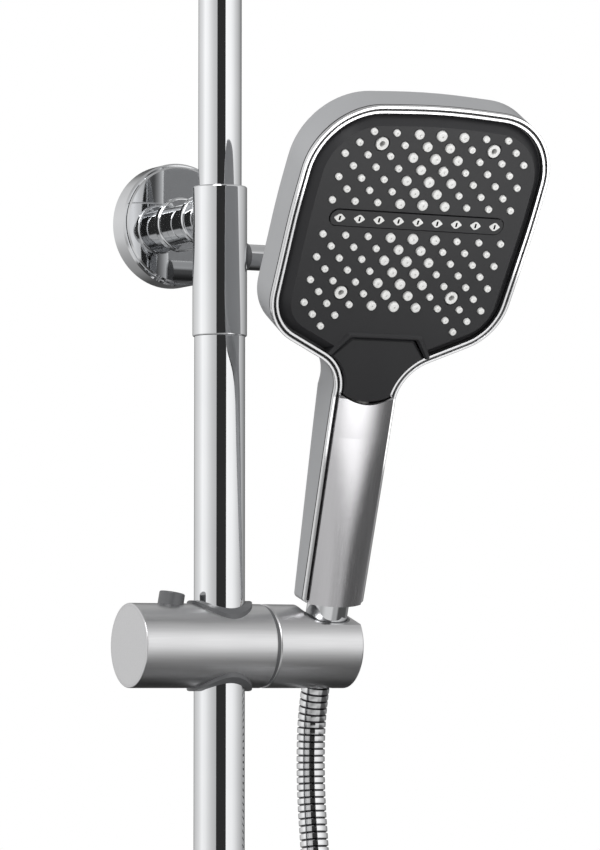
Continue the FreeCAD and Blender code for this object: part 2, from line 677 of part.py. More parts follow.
def make_holder():
    ring_left = SLIDER_RIGHT + SEAT_GAP
    ring_right = SLIDER_RIGHT + FRICTION_RING_WIDTH
    bearing_end = ring_right + PIVOT_BEARING
    head_start = bearing_end + PIVOT_WASHER_THICK + SEAT_GAP
    reach = 2 * SLIDER_R
    inner = BODY_GAP
    outer = inner + SEAT_INSERT_WALL

    slot_half = SLOT_WIDTH / 2
    slot = placed(block(Vec(-slot_half, 0, -reach), Vec(slot_half, reach, reach)), SEAT)
    sweep = [
        (SEAT_SWEEP_LEFT, SEAT_MOUTH, SEAT_SWEEP_R),
        (reach, SEAT_MOUTH, 0),
        (reach, reach, 0),
        (SEAT_SWEEP_LEFT, reach, 0),
    ]
    mouth = placed(prism(sweep, reach, -reach), SEAT)
    body = rod(SLIDER_R, ring_right, HOLDER_RIGHT)
    rims = [edge for edge in body.Edges if edge.Closed]
    body = placed(body.makeFillet(HOLDER_EDGE, rims), ACROSS)
    pivot_bore = placed(rod(PIVOT_R + RUN_GAP, ring_right, bearing_end), ACROSS)
    head_bore = placed(rod(PIVOT_HEAD_R + BODY_GAP, bearing_end, SEAT_PLACE), ACROSS)
    seat_hole = placed(cone(outer, -reach, reach), SEAT)
    for cutter in (seat_hole, slot, mouth, pivot_bore, head_bore):
        body = body.cut(cutter)
    parts["holder_body"] = body

    insert = placed(cone(outer - SEAT_GAP, -reach, SEAT_MOUTH).cut(cone(inner, -reach, SEAT_MOUTH)), SEAT)
    insert = insert.common(placed(rod(SLIDER_R - HOLDER_EDGE, ring_right, HOLDER_RIGHT), ACROSS))
    insert = insert.cut(slot).cut(head_bore)
    parts["seat_insert"] = insert

    parts["friction_ring"] = placed(pipe(FRICTION_RING_R, PIVOT_R + RUN_GAP, ring_left, ring_right), ACROSS)
    screw = rod(PIVOT_R, SLIDER_RIGHT - PIVOT_DEPTH, head_start)
    screw = screw.fuse(rod(PIVOT_HEAD_R, head_start, head_start + PIVOT_HEAD_THICK))
    socket = hexagon(PIVOT_R, head_start, head_start + PIVOT_HEAD_THICK)
    parts["pivot_screw"] = placed(screw.cut(socket), ACROSS)
    washer = pipe(PIVOT_HEAD_R, PIVOT_R + RUN_GAP, bearing_end + SEAT_GAP, head_start)
    parts["pivot_washer"] = placed(washer, ACROSS)


def hull(corners, distance, front, leaning):
    """Closed form of one stretch of the shell, a distance in from its outside.

    The handle's back leans in towards its foot.
    """
    solid = prism(inset(corners, distance), front, distance - HEAD_DEPTH - (LAP if leaning else 0))
    if leaning:
        lean = math.atan2(HEAD_DEPTH - HANDLE_FOOT_DEPTH, BEND_HEIGHT - HANDLE_FOOT)
        rear = block(Vec(-FAR, 0, -3 * FAR), Vec(FAR, FAR, 3 * FAR))
        turn = FreeCAD.Rotation(X_AXIS, -math.degrees(lean))
        solid = solid.cut(placed(rear, FreeCAD.Placement(Vec(0, HEAD_DEPTH - distance, BEND_HEIGHT), turn)))
    return solid


def soft_backed(solid, cut_end):
    """Rounds a stretch's back edges, apart from the one that the mitre cuts off."""
    rear_face = max(solid.Faces, key=lambda face: face.CenterOfMass.y)
    edges = [edge for edge in rear_face.Edges if abs(edge.CenterOfMass.z - cut_end) > LAP / 2]
    return solid.makeFillet(SHELL_BACK_R, edges)


def make_shell():
    head = soft_backed(hull(HEAD_OUTLINE, 0, -TRIM_DEPTH, False), -HEAD_DROP - LAP)
    handle = soft_backed(hull(HANDLE_OUTLINE, 0, -TRIM_DEPTH, True), BEND_HEIGHT + LAP)
    inside = joined(hull(HEAD_OUTLINE, SHELL_WALL, 0, False), hull(HANDLE_OUTLINE, SHELL_WALL, 0, True))
    inlet = placed(rod(INLET_SPIGOT_R + SEAT_GAP, 0, HANDLE_FOOT + INLET_SPIGOT_LENGTH), SEAT)
    parts["handset_shell"] = joined(head, handle).cut(inside).cut(inlet)


def make_trim():
    """Bright frame round the face and down the handle's sides.

    Two beads with a groove between run round the face. The outer one goes on along the handle.
    """
    base = bent(0, -TRIM_GROOVE, -TRIM_DEPTH)
    outer_bead = bent(0, 0, -TRIM_GROOVE).cut(bent(TRIM_BEAD, 0, -TRIM_GROOVE))
    inner_bead = prism(inset(HEAD_OUTLINE, TRIM_WIDTH - TRIM_BEAD), 0, -TRIM_GROOVE)
    inner_bead = placed(inner_bead.cut(block(Vec(-FAR, -FAR, -3 * FAR), Vec(FAR, FAR, COVER_TOP))), HEAD)
    parts["handset_trim"] = base.fuse(outer_bead).fuse(inner_bead).cut(trim_opening()).removeSplitter()


def trim_opening():
    """Space inside the trim, wider where the handle's cover lies in it and open at the handle's foot."""
    neck_half = NECK_HALF - STRIP
    handle = mirrored(
        [
            (HANDLE_FOOT_HALF - STRIP, HANDLE_FOOT - LAP, 0),
            (neck_half, BEND_HEIGHT - LAP, 0),
            (neck_half, BEND_HEIGHT + LAP, 0),
        ]
    )
    neck = mirrored([(neck_half, -HEAD_DROP - LAP, 0), (neck_half, COVER_TOP, 0)])
    head = prism(inset(HEAD_OUTLINE, TRIM_WIDTH), PLATEAU_RISE, -HEAD_DEPTH)
    head = head.fuse(prism(neck, PLATEAU_RISE, -HEAD_DEPTH))
    return joined(head, prism(handle, PLATEAU_RISE, -HEAD_DEPTH))


def cover_section(half, crown, height, back):
    """Crowned cross-section of the handle's front cover at a height."""
    left = Vec(-half, -COVER_EDGE, height)
    right = Vec(half, -COVER_EDGE, height)
    foot_left = Vec(-half, -back, height)
    foot_right = Vec(half, -back, height)
    edges = [
        Part.Arc(left, Vec(0, -crown, height), right).toShape(),
        Part.LineSegment(right, foot_right).toShape(),
        Part.LineSegment(foot_right, foot_left).toShape(),
        Part.LineSegment(foot_left, left).toShape(),
    ]
    return Part.Wire(edges)


def crowned(thinner, back):
    """The front cover's crowned form over handle and neck, thinner by a wall for its hollow."""
    foot_half = HANDLE_FOOT_HALF - STRIP - SEAT_GAP - thinner
    neck_half = NECK_HALF - STRIP - SEAT_GAP - thinner
    foot = cover_section(foot_half, COVER_CROWN_FOOT - thinner, HANDLE_FOOT + thinner, back)
    before_bend = cover_section(neck_half, COVER_CROWN_NECK - thinner, BEND_HEIGHT - LAP, back)
    past_bend = cover_section(neck_half, COVER_CROWN_NECK - thinner, BEND_HEIGHT + LAP, back)
    handle = Part.makeLoft([foot, before_bend, past_bend], True, True)
    neck_foot = cover_section(neck_half, COVER_CROWN_NECK - thinner, -HEAD_DROP - LAP, back)
    neck_top = cover_section(neck_half, COVER_CROWN_NECK - thinner, MODE_SHOULDER, back)
    return joined(Part.makeLoft([neck_foot, neck_top], True, True), handle)


def mode_foot_arc(extra):
    """Disc whose lower edge is the mode button's rounded foot."""
    centre = Vec(0, -FAR, MODE_FOOT + MODE_FOOT_R)
    return placed(Part.makeCylinder(MODE_FOOT_R + extra, 2 * FAR, centre, Vec(0, 1, 0)), HEAD)


def make_handle_cover():
    ledge = -TRIM_DEPTH
    flange = bent(SHELL_WALL + SEAT_GAP, ledge, ledge - COVER_FLANGE)
    flange_width = STRIP + 2 * COVER_WALL
    flange = flange.cut(bent(flange_width, ledge, ledge - COVER_FLANGE))
    cover = crowned(0, ledge).fuse(flange)
    cover = cover.cut(crowned(COVER_WALL, ledge - 2 * COVER_FLANGE))
    spigot_top = HANDLE_FOOT + INLET_SPIGOT_LENGTH + SEAT_GAP
    cover = cover.cut(placed(rod(INLET_SPIGOT_R + SEAT_GAP, 0, spigot_top), SEAT))
    cover_top = COVER_TOP - SEAT_GAP
    above = placed(block(Vec(-2 * FAR, -FAR, cover_top), Vec(2 * FAR, FAR, 2 * FAR)), HEAD)
    parts["handle_cover"] = largest(cover.cut(mode_foot_arc(MODE_GAP)).cut(above))


def largest(shape):
    return max(shape.Solids, key=lambda solid: solid.Volume)


def nozzle_places():
    """Spray nozzles as (x, height, radius), and the mist nozzles as (x, height)."""
    nozzles = []
    mist = []
    for side in (1, -1):
        for row in range(1, 10 if side < 0 else 8):
            height = side * (BAR_TO_ROW + (row - 1) * NOZZLE_ROW)
            columns = 9 if row % 2 else 8
            for column in range(1, columns + 1):
                x = (column - (columns + 1) / 2) * NOZZLE_PITCH
                from_edge = min(column, columns + 1 - column)
                if row == 7 and side > 0 and from_edge == 1:
                    continue
                if row == 8 and from_edge > 2:
                    continue
                if row == 9 and from_edge != 2:
                    continue
                if row == 6 and from_edge == 2:
                    mist.append((x, height))
                    continue
                if from_edge == 5:
                    radius = NOZZLE_CENTRE_R
                elif from_edge == 4:
                    radius = NOZZLE_LARGE_R
                else:
                    radius = NOZZLE_SMALL_R
                nozzles.append((x, height, radius))
    return nozzles, mist


def stud(x, height, radius, back, front, tip_radius=None):
    """Round or tapered stud square to the face, between two distances in front of the trim."""
    length = front - back
    start = Vec(x, -back, height)
    if tip_radius is None:
        return Part.makeCylinder(radius, length, start, Vec(0, -1, 0))
    return Part.makeCone(radius, tip_radius, length, start, Vec(0, -1, 0))


def jet_outline(x, grow):
    """Almond outline of one jet of the bar."""
    across, up = JET_HALF
    return [
        (x - across - grow, 0, JET_TIP_R),
        (x, -up - grow, JET_SIDE_R),
        (x + across + grow, 0, JET_TIP_R),
        (x, up + grow, JET_SIDE_R),
    ]


def bar_outline(grow):
    half = BAR_LENGTH / 2 + grow
    rise = BAR_WIDTH / 2 + grow
    radius = rise - SEAT_GAP
    return [(-half, -rise, radius), (half, -rise, radius), (half, rise, radius), (-half, rise, radius)]


def mode_pocket(grow):
    """Outline of the mode button's upper end, left open below."""
    return [
        (-MODE_SHOULDER_HALF - grow, -HEAD_DROP - LAP, 0),
        (MODE_SHOULDER_HALF + grow, -HEAD_DROP - LAP, 0),
        (MODE_SHOULDER_HALF + grow, MODE_SHOULDER, MODE_CORNER_R),
        (MODE_TOP_HALF + grow, MODE_TOP + grow, MODE_CORNER_R),
        (-MODE_TOP_HALF - grow, MODE_TOP + grow, MODE_CORNER_R),
        (-MODE_SHOULDER_HALF - grow, MODE_SHOULDER, MODE_CORNER_R),
    ]


def bevelled(outline, front, back):
    """Block with a bevel round its front, its outline given by how far that is grown."""
    shoulder = front - MODE_BEVEL
    return prism(outline(0), shoulder, back).fuse(swell(outline(0), shoulder, outline(-MODE_BEVEL), front))


def make_face():
    nozzles, mist = nozzle_places()
    pitch = (BAR_LENGTH - 2 * JET_END) / (JET_COUNT - 1)
    jets = [(i - (JET_COUNT - 1) / 2) * pitch for i in range(JET_COUNT)]
    ledge = -TRIM_DEPTH - SEAT_GAP
    border = inset(HEAD_OUTLINE, SHELL_WALL + SEAT_GAP)
    slope_foot = inset(HEAD_OUTLINE, TRIM_WIDTH + PLATE_GAP)
    slope_top = inset(HEAD_OUTLINE, TRIM_WIDTH + PLATEAU_SLOPE)
    hollow_foot = inset(HEAD_OUTLINE, TRIM_WIDTH + PLATE_GAP + PLATEAU_WALL)
    hollow_top = inset(HEAD_OUTLINE, TRIM_WIDTH + PLATEAU_SLOPE + PLATEAU_WALL)
    lip_front = PLATEAU_TOP + MODE_BEVEL

    plate = prism(border, ledge, CHAMBER_FRONT).fuse(swell(slope_foot, ledge, slope_top, PLATEAU_TOP))
    lip = bevelled(lambda grow: mode_pocket(MODE_LIP + grow), lip_front, ledge)
    plate = plate.fuse(lip.common(prism(slope_foot, lip_front, ledge)))
    holes = [swell(hollow_foot, CHAMBER_FRONT, hollow_top, MAT_FRONT)]
    holes.append(prism(mode_pocket(MODE_GAP), FAR, -FAR))
    wide_mouth = mode_pocket(MODE_GAP + 2 * MODE_BEVEL)
    holes.append(swell(mode_pocket(MODE_GAP), PLATEAU_TOP, wide_mouth, PLATEAU_TOP + 2 * MODE_BEVEL))
    holes.append(block(Vec(-FAR, -FAR, -3 * FAR), Vec(FAR, FAR, MODE_SHOULDER)))
    holes.append(prism(bar_outline(SEAT_GAP), FAR, MAT_FRONT))
    holes.append(prism(bar_outline(BAR_GROOVE), FAR, PLATEAU_TOP - BAR_GROOVE_DEPTH))
    for x, height, radius in nozzles:
        holes.append(stud(x, height, radius + NOZZLE_TAPER + SEAT_GAP, -FAR, FAR))
    for x, height in mist:
        holes.append(stud(x, height, MIST_RECESS_R, PLATEAU_TOP - MIST_RECESS_DEPTH, FAR))
        holes.append(stud(x, height, MIST_RING_R + SEAT_GAP, MAT_FRONT, FAR))
    parts["face_plate"] = placed(largest(plate.cut(Part.makeCompound(holes))), HEAD)

    mat_outline = inset(HEAD_OUTLINE, TRIM_WIDTH + PLATEAU_SLOPE + PLATEAU_WALL + SEAT_GAP)
    sheet = prism(mat_outline, MAT_FRONT - SEAT_GAP, MAT_FRONT - MAT_THICK)
    mode_room = prism(mode_pocket(MODE_LIP), FAR, -FAR)
    sheet = sheet.cut(mode_room)
    tip = PLATEAU_TOP + NOZZLE_PROUD
    cones = [stud(x, z, r + NOZZLE_TAPER, MAT_FRONT - MAT_THICK, tip, r) for x, z, r in nozzles]
    bar_room = prism(bar_outline(SEAT_GAP), FAR, -FAR)
    mist_room = [stud(x, z, MIST_RING_R + SEAT_GAP, -FAR, FAR) for x, z in mist]
    mat = largest(sheet).cut(bar_room).cut(Part.makeCompound(mist_room)).multiFuse(cones)
    parts["nozzle_mat"] = placed(mat, HEAD)

    rings = []
    for x, height in mist:
        front = PLATEAU_TOP + MIST_PROUD
        ring = stud(x, height, MIST_RING_R, MAT_FRONT - MAT_THICK, front)
        rings.append(ring.cut(stud(x, height, MIST_BORE_R, -FAR, FAR)))
    parts["mist_nozzles"] = placed(Part.makeCompound(rings), HEAD)

    pocket_floor = PLATEAU_TOP + BAR_PROUD - JET_POCKET
    slit = Vec(JET_SLIT[0] / 2, FAR, JET_SLIT[1] / 2)
    jet_front = PLATEAU_TOP + JET_PROUD
    pockets = []
    solids = []
    for x in jets:
        at = Vec(x, 0, 0)
        way = block(at - slit, at + slit)
        pockets += [prism(jet_outline(x, SEAT_GAP), FAR, pocket_floor), way]
        solids.append(prism(jet_outline(x, 0), jet_front, pocket_floor + SEAT_GAP).cut(way))
    bar = prism(bar_outline(0), PLATEAU_TOP + BAR_PROUD, MAT_FRONT - MAT_THICK)
    parts["jet_bar"] = placed(bar.cut(Part.makeCompound(pockets)), HEAD)
    parts["bar_jets"] = placed(Part.makeCompound(solids), HEAD)

    chamber_outline = inset(HEAD_OUTLINE, CHAMBER_INSET)
    tray = prism(chamber_outline, CHAMBER_FRONT - SEAT_GAP, CHAMBER_FRONT - CHAMBER_DEPTH)
    hollow = inset(HEAD_OUTLINE, CHAMBER_INSET + CHAMBER_WALL)
    tray = tray.cut(prism(hollow, 0, CHAMBER_FRONT - CHAMBER_DEPTH + CHAMBER_WALL))
    wall_top = CHAMBER_FOOT + CHAMBER_WALL
    sill = prism(chamber_outline, CHAMBER_FRONT - SEAT_GAP, CHAMBER_FRONT - CHAMBER_DEPTH)
    sill = sill.common(block(Vec(-2 * FAR, -FAR, CHAMBER_FOOT), Vec(2 * FAR, FAR, wall_top)))
    tray = tray.fuse(sill).cut(block(Vec(-2 * FAR, -FAR, -3 * FAR), Vec(2 * FAR, FAR, CHAMBER_FOOT)))
    inlet = Part.makeCylinder(DUCT_R - DUCT_WALL, 2 * CHAMBER_WALL, duct_start(CHAMBER_FOOT), Vec(0, 0, 1))
    parts["spray_chamber"] = placed(largest(tray.cut(inlet)), HEAD)


def duct_start(height):
    """Point on the axis of the ducts behind the mode button."""
    return Vec(0, -SHELL_FLOOR - DUCT_R - DUCT_WALL, height)


def make_mode_button():
    back = MODE_PROUD - MODE_THICK

    def inside_trim(grow):
        return inset(HEAD_OUTLINE, TRIM_WIDTH + MODE_GAP - grow)

    button = bevelled(inside_trim, MODE_PROUD, back).common(bevelled(mode_pocket, MODE_PROUD, back))
    button = placed(button, HEAD)
    lower_half = placed(block(Vec(-FAR, -FAR, -3 * FAR), Vec(FAR, FAR, MODE_FOOT + MODE_FOOT_R / 2)), HEAD)
    below_arc = lower_half.cut(mode_foot_arc(0))
    parts["mode_button"] = largest(button.cut(below_arc))

    spool = stud(0, SPOOL_HEIGHT, SPOOL_R, back - SPOOL_LENGTH, back)
    parts["selector_spool"] = placed(spool, HEAD)
    floor = SHELL_FLOOR + SEAT_GAP
    cup_front = floor + DIVERTER_DEPTH
    duct_axis = duct_start(0).y
    cup = stud(0, SPOOL_HEIGHT, DIVERTER_R, floor, cup_front)
    upper_end = CHAMBER_FOOT - SEAT_GAP
    lower_end = -HEAD_DROP + DUCT_R
    duct = Part.makeCylinder(DUCT_R, upper_end - lower_end, Vec(0, duct_axis, lower_end))
    bore = Part.makeCylinder(DUCT_R - DUCT_WALL, upper_end - lower_end, Vec(0, duct_axis, lower_end))
    well = stud(0, SPOOL_HEIGHT, DIVERTER_R - DIVERTER_WALL, floor + DIVERTER_WALL, 0)
    pressed_back = back - MODE_TRAVEL - BODY_GAP
    elbow = stud(0, lower_end + DUCT_WALL, DUCT_R + DUCT_WALL, floor, pressed_back)
    parts["diverter_body"] = placed(cup.fuse(duct).fuse(elbow).cut(bore).cut(well), HEAD)
    spring_r = (SPOOL_R + DIVERTER_R - DIVERTER_WALL) / 2
    turns = spring(spring_r, floor + DIVERTER_WALL + SEAT_GAP, back - SEAT_GAP, MODE_SPRING_TURNS)
    to_front = FreeCAD.Placement(Vec(0, 0, SPOOL_HEIGHT), FreeCAD.Rotation(X_AXIS, 90))
    parts["mode_spring"] = placed(placed(turns, to_front), HEAD)


def make_inlet():
    thread_foot = HANDLE_FOOT - INLET_THREAD_LENGTH
    spigot_top = HANDLE_FOOT + INLET_SPIGOT_LENGTH
    tube_foot = HANDLE_FOOT + SHELL_WALL
    mode_foot = BEND_HEIGHT + HEAD_DROP + MODE_FOOT
    tube_top = mode_foot - 2 * BODY_GAP
    connector = rod(INLET_THREAD_R, thread_foot, HANDLE_FOOT - SEAT_GAP)
    connector = connector.fuse(rod(INLET_SPIGOT_R, HANDLE_FOOT - SEAT_GAP, spigot_top))
    connector = connector.cut(rod(INLET_BORE_R, thread_foot, tube_foot))
    connector = connector.cut(rod(WATER_TUBE_R + SEAT_GAP, tube_foot, spigot_top))
    parts["inlet_connector"] = placed(connector, SEAT)
    tube = pipe(WATER_TUBE_R, WATER_TUBE_R - WATER_TUBE_WALL, tube_foot, tube_top)
    parts["water_tube"] = placed(tube, SEAT)

    nut_top = HANDLE_FOOT - NUT_GAP
    cone_side = [(NUT_FOOT_R, NUT_FOOT), (NUT_R, SEAT_MOUTH), (NUT_R, nut_top)]
    nut = turned([(0, NUT_FOOT), *cone_side, (0, nut_top)])
    washer_foot = thread_foot - WASHER_THICK
    nut = nut.cut(rod(INLET_THREAD_R + SEAT_GAP, thread_foot, nut_top))
    washer_r = nut_radius(washer_foot) - SEAT_INSERT_WALL
    nut = nut.cut(rod(washer_r + SEAT_GAP, washer_foot, thread_foot))
    nut = nut.cut(rod(NUT_BORE_R, NUT_FOOT, washer_foot))
    parts["hose_nut"] = placed(nut, SEAT)
    parts["inlet_washer"] = placed(pipe(washer_r, INLET_BORE_R, washer_foot, thread_foot), SEAT)


def hose_points():
    """Points of the hose's free route, from the nut down to the coil."""
    start = SEAT.multVec(Vec(0, 0, NUT_FOOT))
    lead = SEAT.multVec(Vec(0, 0, NUT_FOOT - HOSE_LEAD))
    route = [Vec(SEAT_PLACE, -depth, height) for depth, height in HOSE_ROUTE]
    return [start, lead, *route, route[-1] - Vec(0, 0, HOSE_DROP)]


def arced(points):
    """Path of straight runs joined by the largest tangent arcs that the runs allow, and its radii."""
    edges = []
    radii = []
    at = points[0]
    for before, here, after in zip(points, points[1:], points[2:]):
        arrive = (here - before).normalize()
        leave = (after - here).normalize()
        half_turn = arrive.getAngle(leave) / 2
        reach = 0.45 * min((here - before).Length, (after - here).Length)
        radius = reach / math.tan(half_turn)
        radii.append(radius)
        first = here - arrive * reach
        last = here + leave * reach
        middle = here + (leave - arrive).normalize() * radius * (1 / math.cos(half_turn) - 1)
        edges.append(Part.LineSegment(at, first).toShape())
        edges.append(Part.Arc(first, middle, last).toShape())
        at = last
    edges.append(Part.LineSegment(at, points[-1]).toShape())
    return Part.Wire(edges), radii


def points_along(path, distances):
    """Places and directions on a path at distances from its start."""
    edges = path.Edges
    found = []
    for distance in distances:
        left = distance
        i = 0
        while left > edges[i].Length and i < len(edges) - 1:
            left -= edges[i].Length
            i += 1
        at = edges[i].getParameterByLength(min(left, edges[i].Length))
        found.append((edges[i].valueAt(at), edges[i].tangentAt(at)))
    return found


def ribbed(path):
    """Ribbed hose along a path that lies square to X, with its bore. Its ends are plain for a diameter."""
    length = path.Length
    plain = 2 * HOSE_R
    count = int((length - 2 * plain) / RIB_PITCH)
    root = HOSE_R - RIB_DEPTH
    profile = [(0, root)]
    for i in range(count):
        foot = plain + (length - 2 * plain - count * RIB_PITCH) / 2 + i * RIB_PITCH
        for share, radius in ((0.0, root), (0.2, HOSE_R), (0.7, HOSE_R), (0.9, root)):
            profile.append((foot + share * RIB_PITCH, radius))
    profile.append((length, root))
    rings = []
    for (distance, radius), (place, along) in zip(profile, points_along(path, [d for d, _ in profile])):
        ring = Part.makeCircle(radius)
        turn = FreeCAD.Rotation(X_AXIS, along.cross(X_AXIS), along, "ZXY")
        ring.Placement = FreeCAD.Placement(place, turn)
        rings.append(Part.Wire(ring))
    print(f"hose ribs: {count}")
    return Part.makeLoft(rings, True, True).cut(swept(path, HOSE_BORE_R))


def coil_path(start):
    """Path of the put-away coil: it comes down at its back, turns about X and ends going down."""
    down = Vec(0, 0, -1)
    plain = 2 * HOSE_R
    side = start + down * plain
    centre = side - Vec(0, COIL_R, 0)
    steps = 4 * COIL_TURNS

    def on_turn(i):
        angle = i * math.pi / 2
        place = centre + Vec(COIL_PITCH * i / 4, COIL_R * math.cos(angle), -COIL_R * math.sin(angle))
        along = Vec(COIL_PITCH / 2 / math.pi, -COIL_R * math.sin(angle), -COIL_R * math.cos(angle))
        if i == steps:
            place += X_AXIS * COIL_SPLAY
        return place, down if i in (0, steps) else along.normalize()

    edges = [Part.LineSegment(start, side).toShape()]
    for i in range(steps):
        edges += turn_of_wire(*on_turn(i), *on_turn(i + 1))
    last, _ = on_turn(steps)
    edges.append(Part.LineSegment(last, last + down * plain).toShape())
    return Part.Wire(edges), centre, last + down * plain


def self_gap(path):
    """Least gap between stretches of a tube that lie over three diameters apart along it."""
    step = HOSE_R / 2
    points = path.discretize(Distance=step)
    apart = int(6 * HOSE_R / step)
    least = min(
        (points[i] - points[j]).Length for i in range(len(points)) for j in range(i + apart, len(points))
    )
    return least - 2 * HOSE_R


def make_hose():
    free_path, radii = arced(hose_points())
    free = ribbed(free_path)
    parts["hose_free"] = free
    coil, centre, coil_end = coil_path(hose_points()[-1])
    outer = swept(coil, HOSE_R)
    parts["hose_coil"] = outer.cut(swept(coil, HOSE_BORE_R))
    print("hose radii:", [round(radius) for radius in radii])
    print(f"hose length: {free_path.Length + coil.Length:.1f}, coil self gap: {self_gap(coil):.2f}")
    print(f"coil volume to section times length: {outer.Volume / (math.pi * HOSE_R**2 * coil.Length):.4f}")

    across = COIL_PITCH * (COIL_TURNS - 1) / 2 + HOSE_R + TIE_GAP
    rise = HOSE_R + TIE_GAP
    bundle = centre + Vec(COIL_PITCH * (COIL_TURNS / 2 - 1 / 4), 0, -COIL_R)

    def band(grow):
        half = across + grow
        high = rise + grow
        corner = high - SEAT_GAP
        return [(-half, -high, corner), (half, -high, corner), (half, high, corner), (-half, high, corner)]

    tie = prism(band(TIE_THICK), TIE_WIDTH / 2, -TIE_WIDTH / 2).cut(prism(band(0), TIE_WIDTH, -TIE_WIDTH))
    parts["hose_tie"] = placed(tie, FreeCAD.Placement(bundle, FreeCAD.Rotation()))

    end = FreeCAD.Placement(coil_end, FreeCAD.Rotation(X_AXIS, 180))
    neck = FERRULE_LENGTH + END_NUT_FLOOR
    collar_r = END_NUT_THREAD_R - BODY_GAP
    ferrule = rod(FERRULE_R, 0, FERRULE_LENGTH).fuse(rod(HOSE_R, FERRULE_LENGTH, neck + 2 * BODY_GAP))
    collar_end = neck + 2 * BODY_GAP + UNION_FLANGE_THICK
    ferrule = ferrule.fuse(rod(collar_r, neck + 2 * BODY_GAP, collar_end))
    parts["hose_ferrule"] = placed(ferrule.cut(rod(HOSE_BORE_R, 0, collar_end)), end)
    nut_start = FERRULE_LENGTH + BODY_GAP
    washer_end = collar_end + WASHER_THICK
    nut_end = nut_start + END_NUT_FLOOR + END_NUT_LENGTH
    nut = hexagon(END_NUT_FLATS, nut_start, nut_end)
    nut = nut.cut(rod(HOSE_R + BODY_GAP, nut_start, nut_end))
    nut = nut.cut(rod(collar_r + SEAT_GAP, neck + BODY_GAP, washer_end))
    nut = nut.cut(rod(END_NUT_THREAD_R, washer_end, nut_end))
    parts["hose_end_nut"] = placed(nut, end)
    parts["hose_end_washer"] = placed(pipe(collar_r, HOSE_BORE_R, collar_end, washer_end), end)


def main():
    make_wall_bracket()
    make_riser()
    make_union()
    make_lock_knob()
    make_slider()
    make_holder()
    make_shell()
    make_trim()
    make_handle_cover()
    make_face()
    make_mode_button()
    make_inlet()
    make_hose()
    os.makedirs("parts", exist_ok=True)
    for name, shape in parts.items():
        if not shape.isValid():
            print("not valid:", name)
        shape.exportStep(f"parts/{name}.step")
    print(len(parts), "nodes")


main()
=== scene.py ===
"""Looks of a shower riser with its hand shower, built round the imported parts, in metres."""

import json
import math

import bpy
from mathutils import Matrix, Vector


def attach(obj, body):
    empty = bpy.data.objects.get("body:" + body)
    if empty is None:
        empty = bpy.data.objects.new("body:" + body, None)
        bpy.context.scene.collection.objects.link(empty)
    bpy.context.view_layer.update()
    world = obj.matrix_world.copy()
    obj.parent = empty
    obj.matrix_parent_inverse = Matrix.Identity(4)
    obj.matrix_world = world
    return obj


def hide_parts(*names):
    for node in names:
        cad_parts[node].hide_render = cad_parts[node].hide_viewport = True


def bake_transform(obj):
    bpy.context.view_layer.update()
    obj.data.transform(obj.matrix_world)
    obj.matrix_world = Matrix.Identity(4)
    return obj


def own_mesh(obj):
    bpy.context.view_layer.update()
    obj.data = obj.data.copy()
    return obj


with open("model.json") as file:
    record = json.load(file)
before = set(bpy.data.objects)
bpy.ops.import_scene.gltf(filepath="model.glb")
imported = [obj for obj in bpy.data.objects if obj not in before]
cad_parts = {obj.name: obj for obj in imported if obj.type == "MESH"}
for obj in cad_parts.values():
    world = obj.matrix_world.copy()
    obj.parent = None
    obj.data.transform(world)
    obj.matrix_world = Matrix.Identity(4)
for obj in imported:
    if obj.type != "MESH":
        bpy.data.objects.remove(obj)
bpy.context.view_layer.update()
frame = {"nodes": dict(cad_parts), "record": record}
parts = frame["nodes"]

MM = 0.001

# Points nearer than this are one, and edges sharper than this stay sharp
RIB_MERGE = 0.01 * MM
SPRING_MERGE = 0.001 * MM
CREASE = math.radians(50)
NOZZLE_CREASE = math.radians(45)

# Sockets of a Mix node set to colour, which its names don't tell apart
SHARE = 0
FIRST = 6
SECOND = 7
MIXED = 2

# Camera, fitted to the photograph's frame of 600 by 850
CAMERA_AT = (-0.930, -1.890, -0.2325)
CAMERA_PITCH = 93.61
CAMERA_TURN = -28.0
LENS_MM = 177.9
SENSOR_MM = 36.0

# Hose: the route's points after the nut, as (depth from the wall, height) in millimetres
HOSE_X = 56.7 * MM
HOSE_START = (53.91, -220.51)
HOSE_ROUTE = (
    (47.42, -240.48),
    (45.3, -262.5),
    (46.1, -287.0),
    (50.4, -315.0),
    (53.4, -345.0),
    (55.0, -376.0),
    (55.0, -393.0),
)
HOSE_R = 7.0 * MM
HOSE_ROOT_R = 6.1 * MM
HOSE_CROWN_R = HOSE_R - 0.06 * MM
HOSE_PITCH = 3.5 * MM
HOSE_SIDES = 24
COIL_R = 69.0 * MM
COIL_PITCH = 15.4 * MM
COIL_TURNS = 3
COIL_POINTS = 16
COIL_TOP = -407.0 * MM
COIL_BACK = -55.0 * MM
COIL_SPLAY = 12.0 * MM
COIL_TAIL = 14.0 * MM
# One rib as (share of the pitch, radius)
RIB_STEPS = (
    (0.08, HOSE_CROWN_R),
    (0.43, HOSE_R),
    (0.78, HOSE_CROWN_R),
    (0.86, HOSE_ROOT_R),
    (1.0, HOSE_ROOT_R),
)

# Hand shower: points on the plane of the trim, the head's at the jet bar's middle, and the plane's lean
HEAD_AT = Vector((56.7, -151.76, -8.215)) * MM
HEAD_TILT = math.radians(31.5)
HANDLE_AT = Vector((56.7, -61.755, -212.545)) * MM
HANDLE_TILT = math.radians(18.0)
TRIM_GROOVE = 0.9 * MM
TRIM_DEPTH = 2.6 * MM
TRIM_EDGE_R = 0.5 * MM
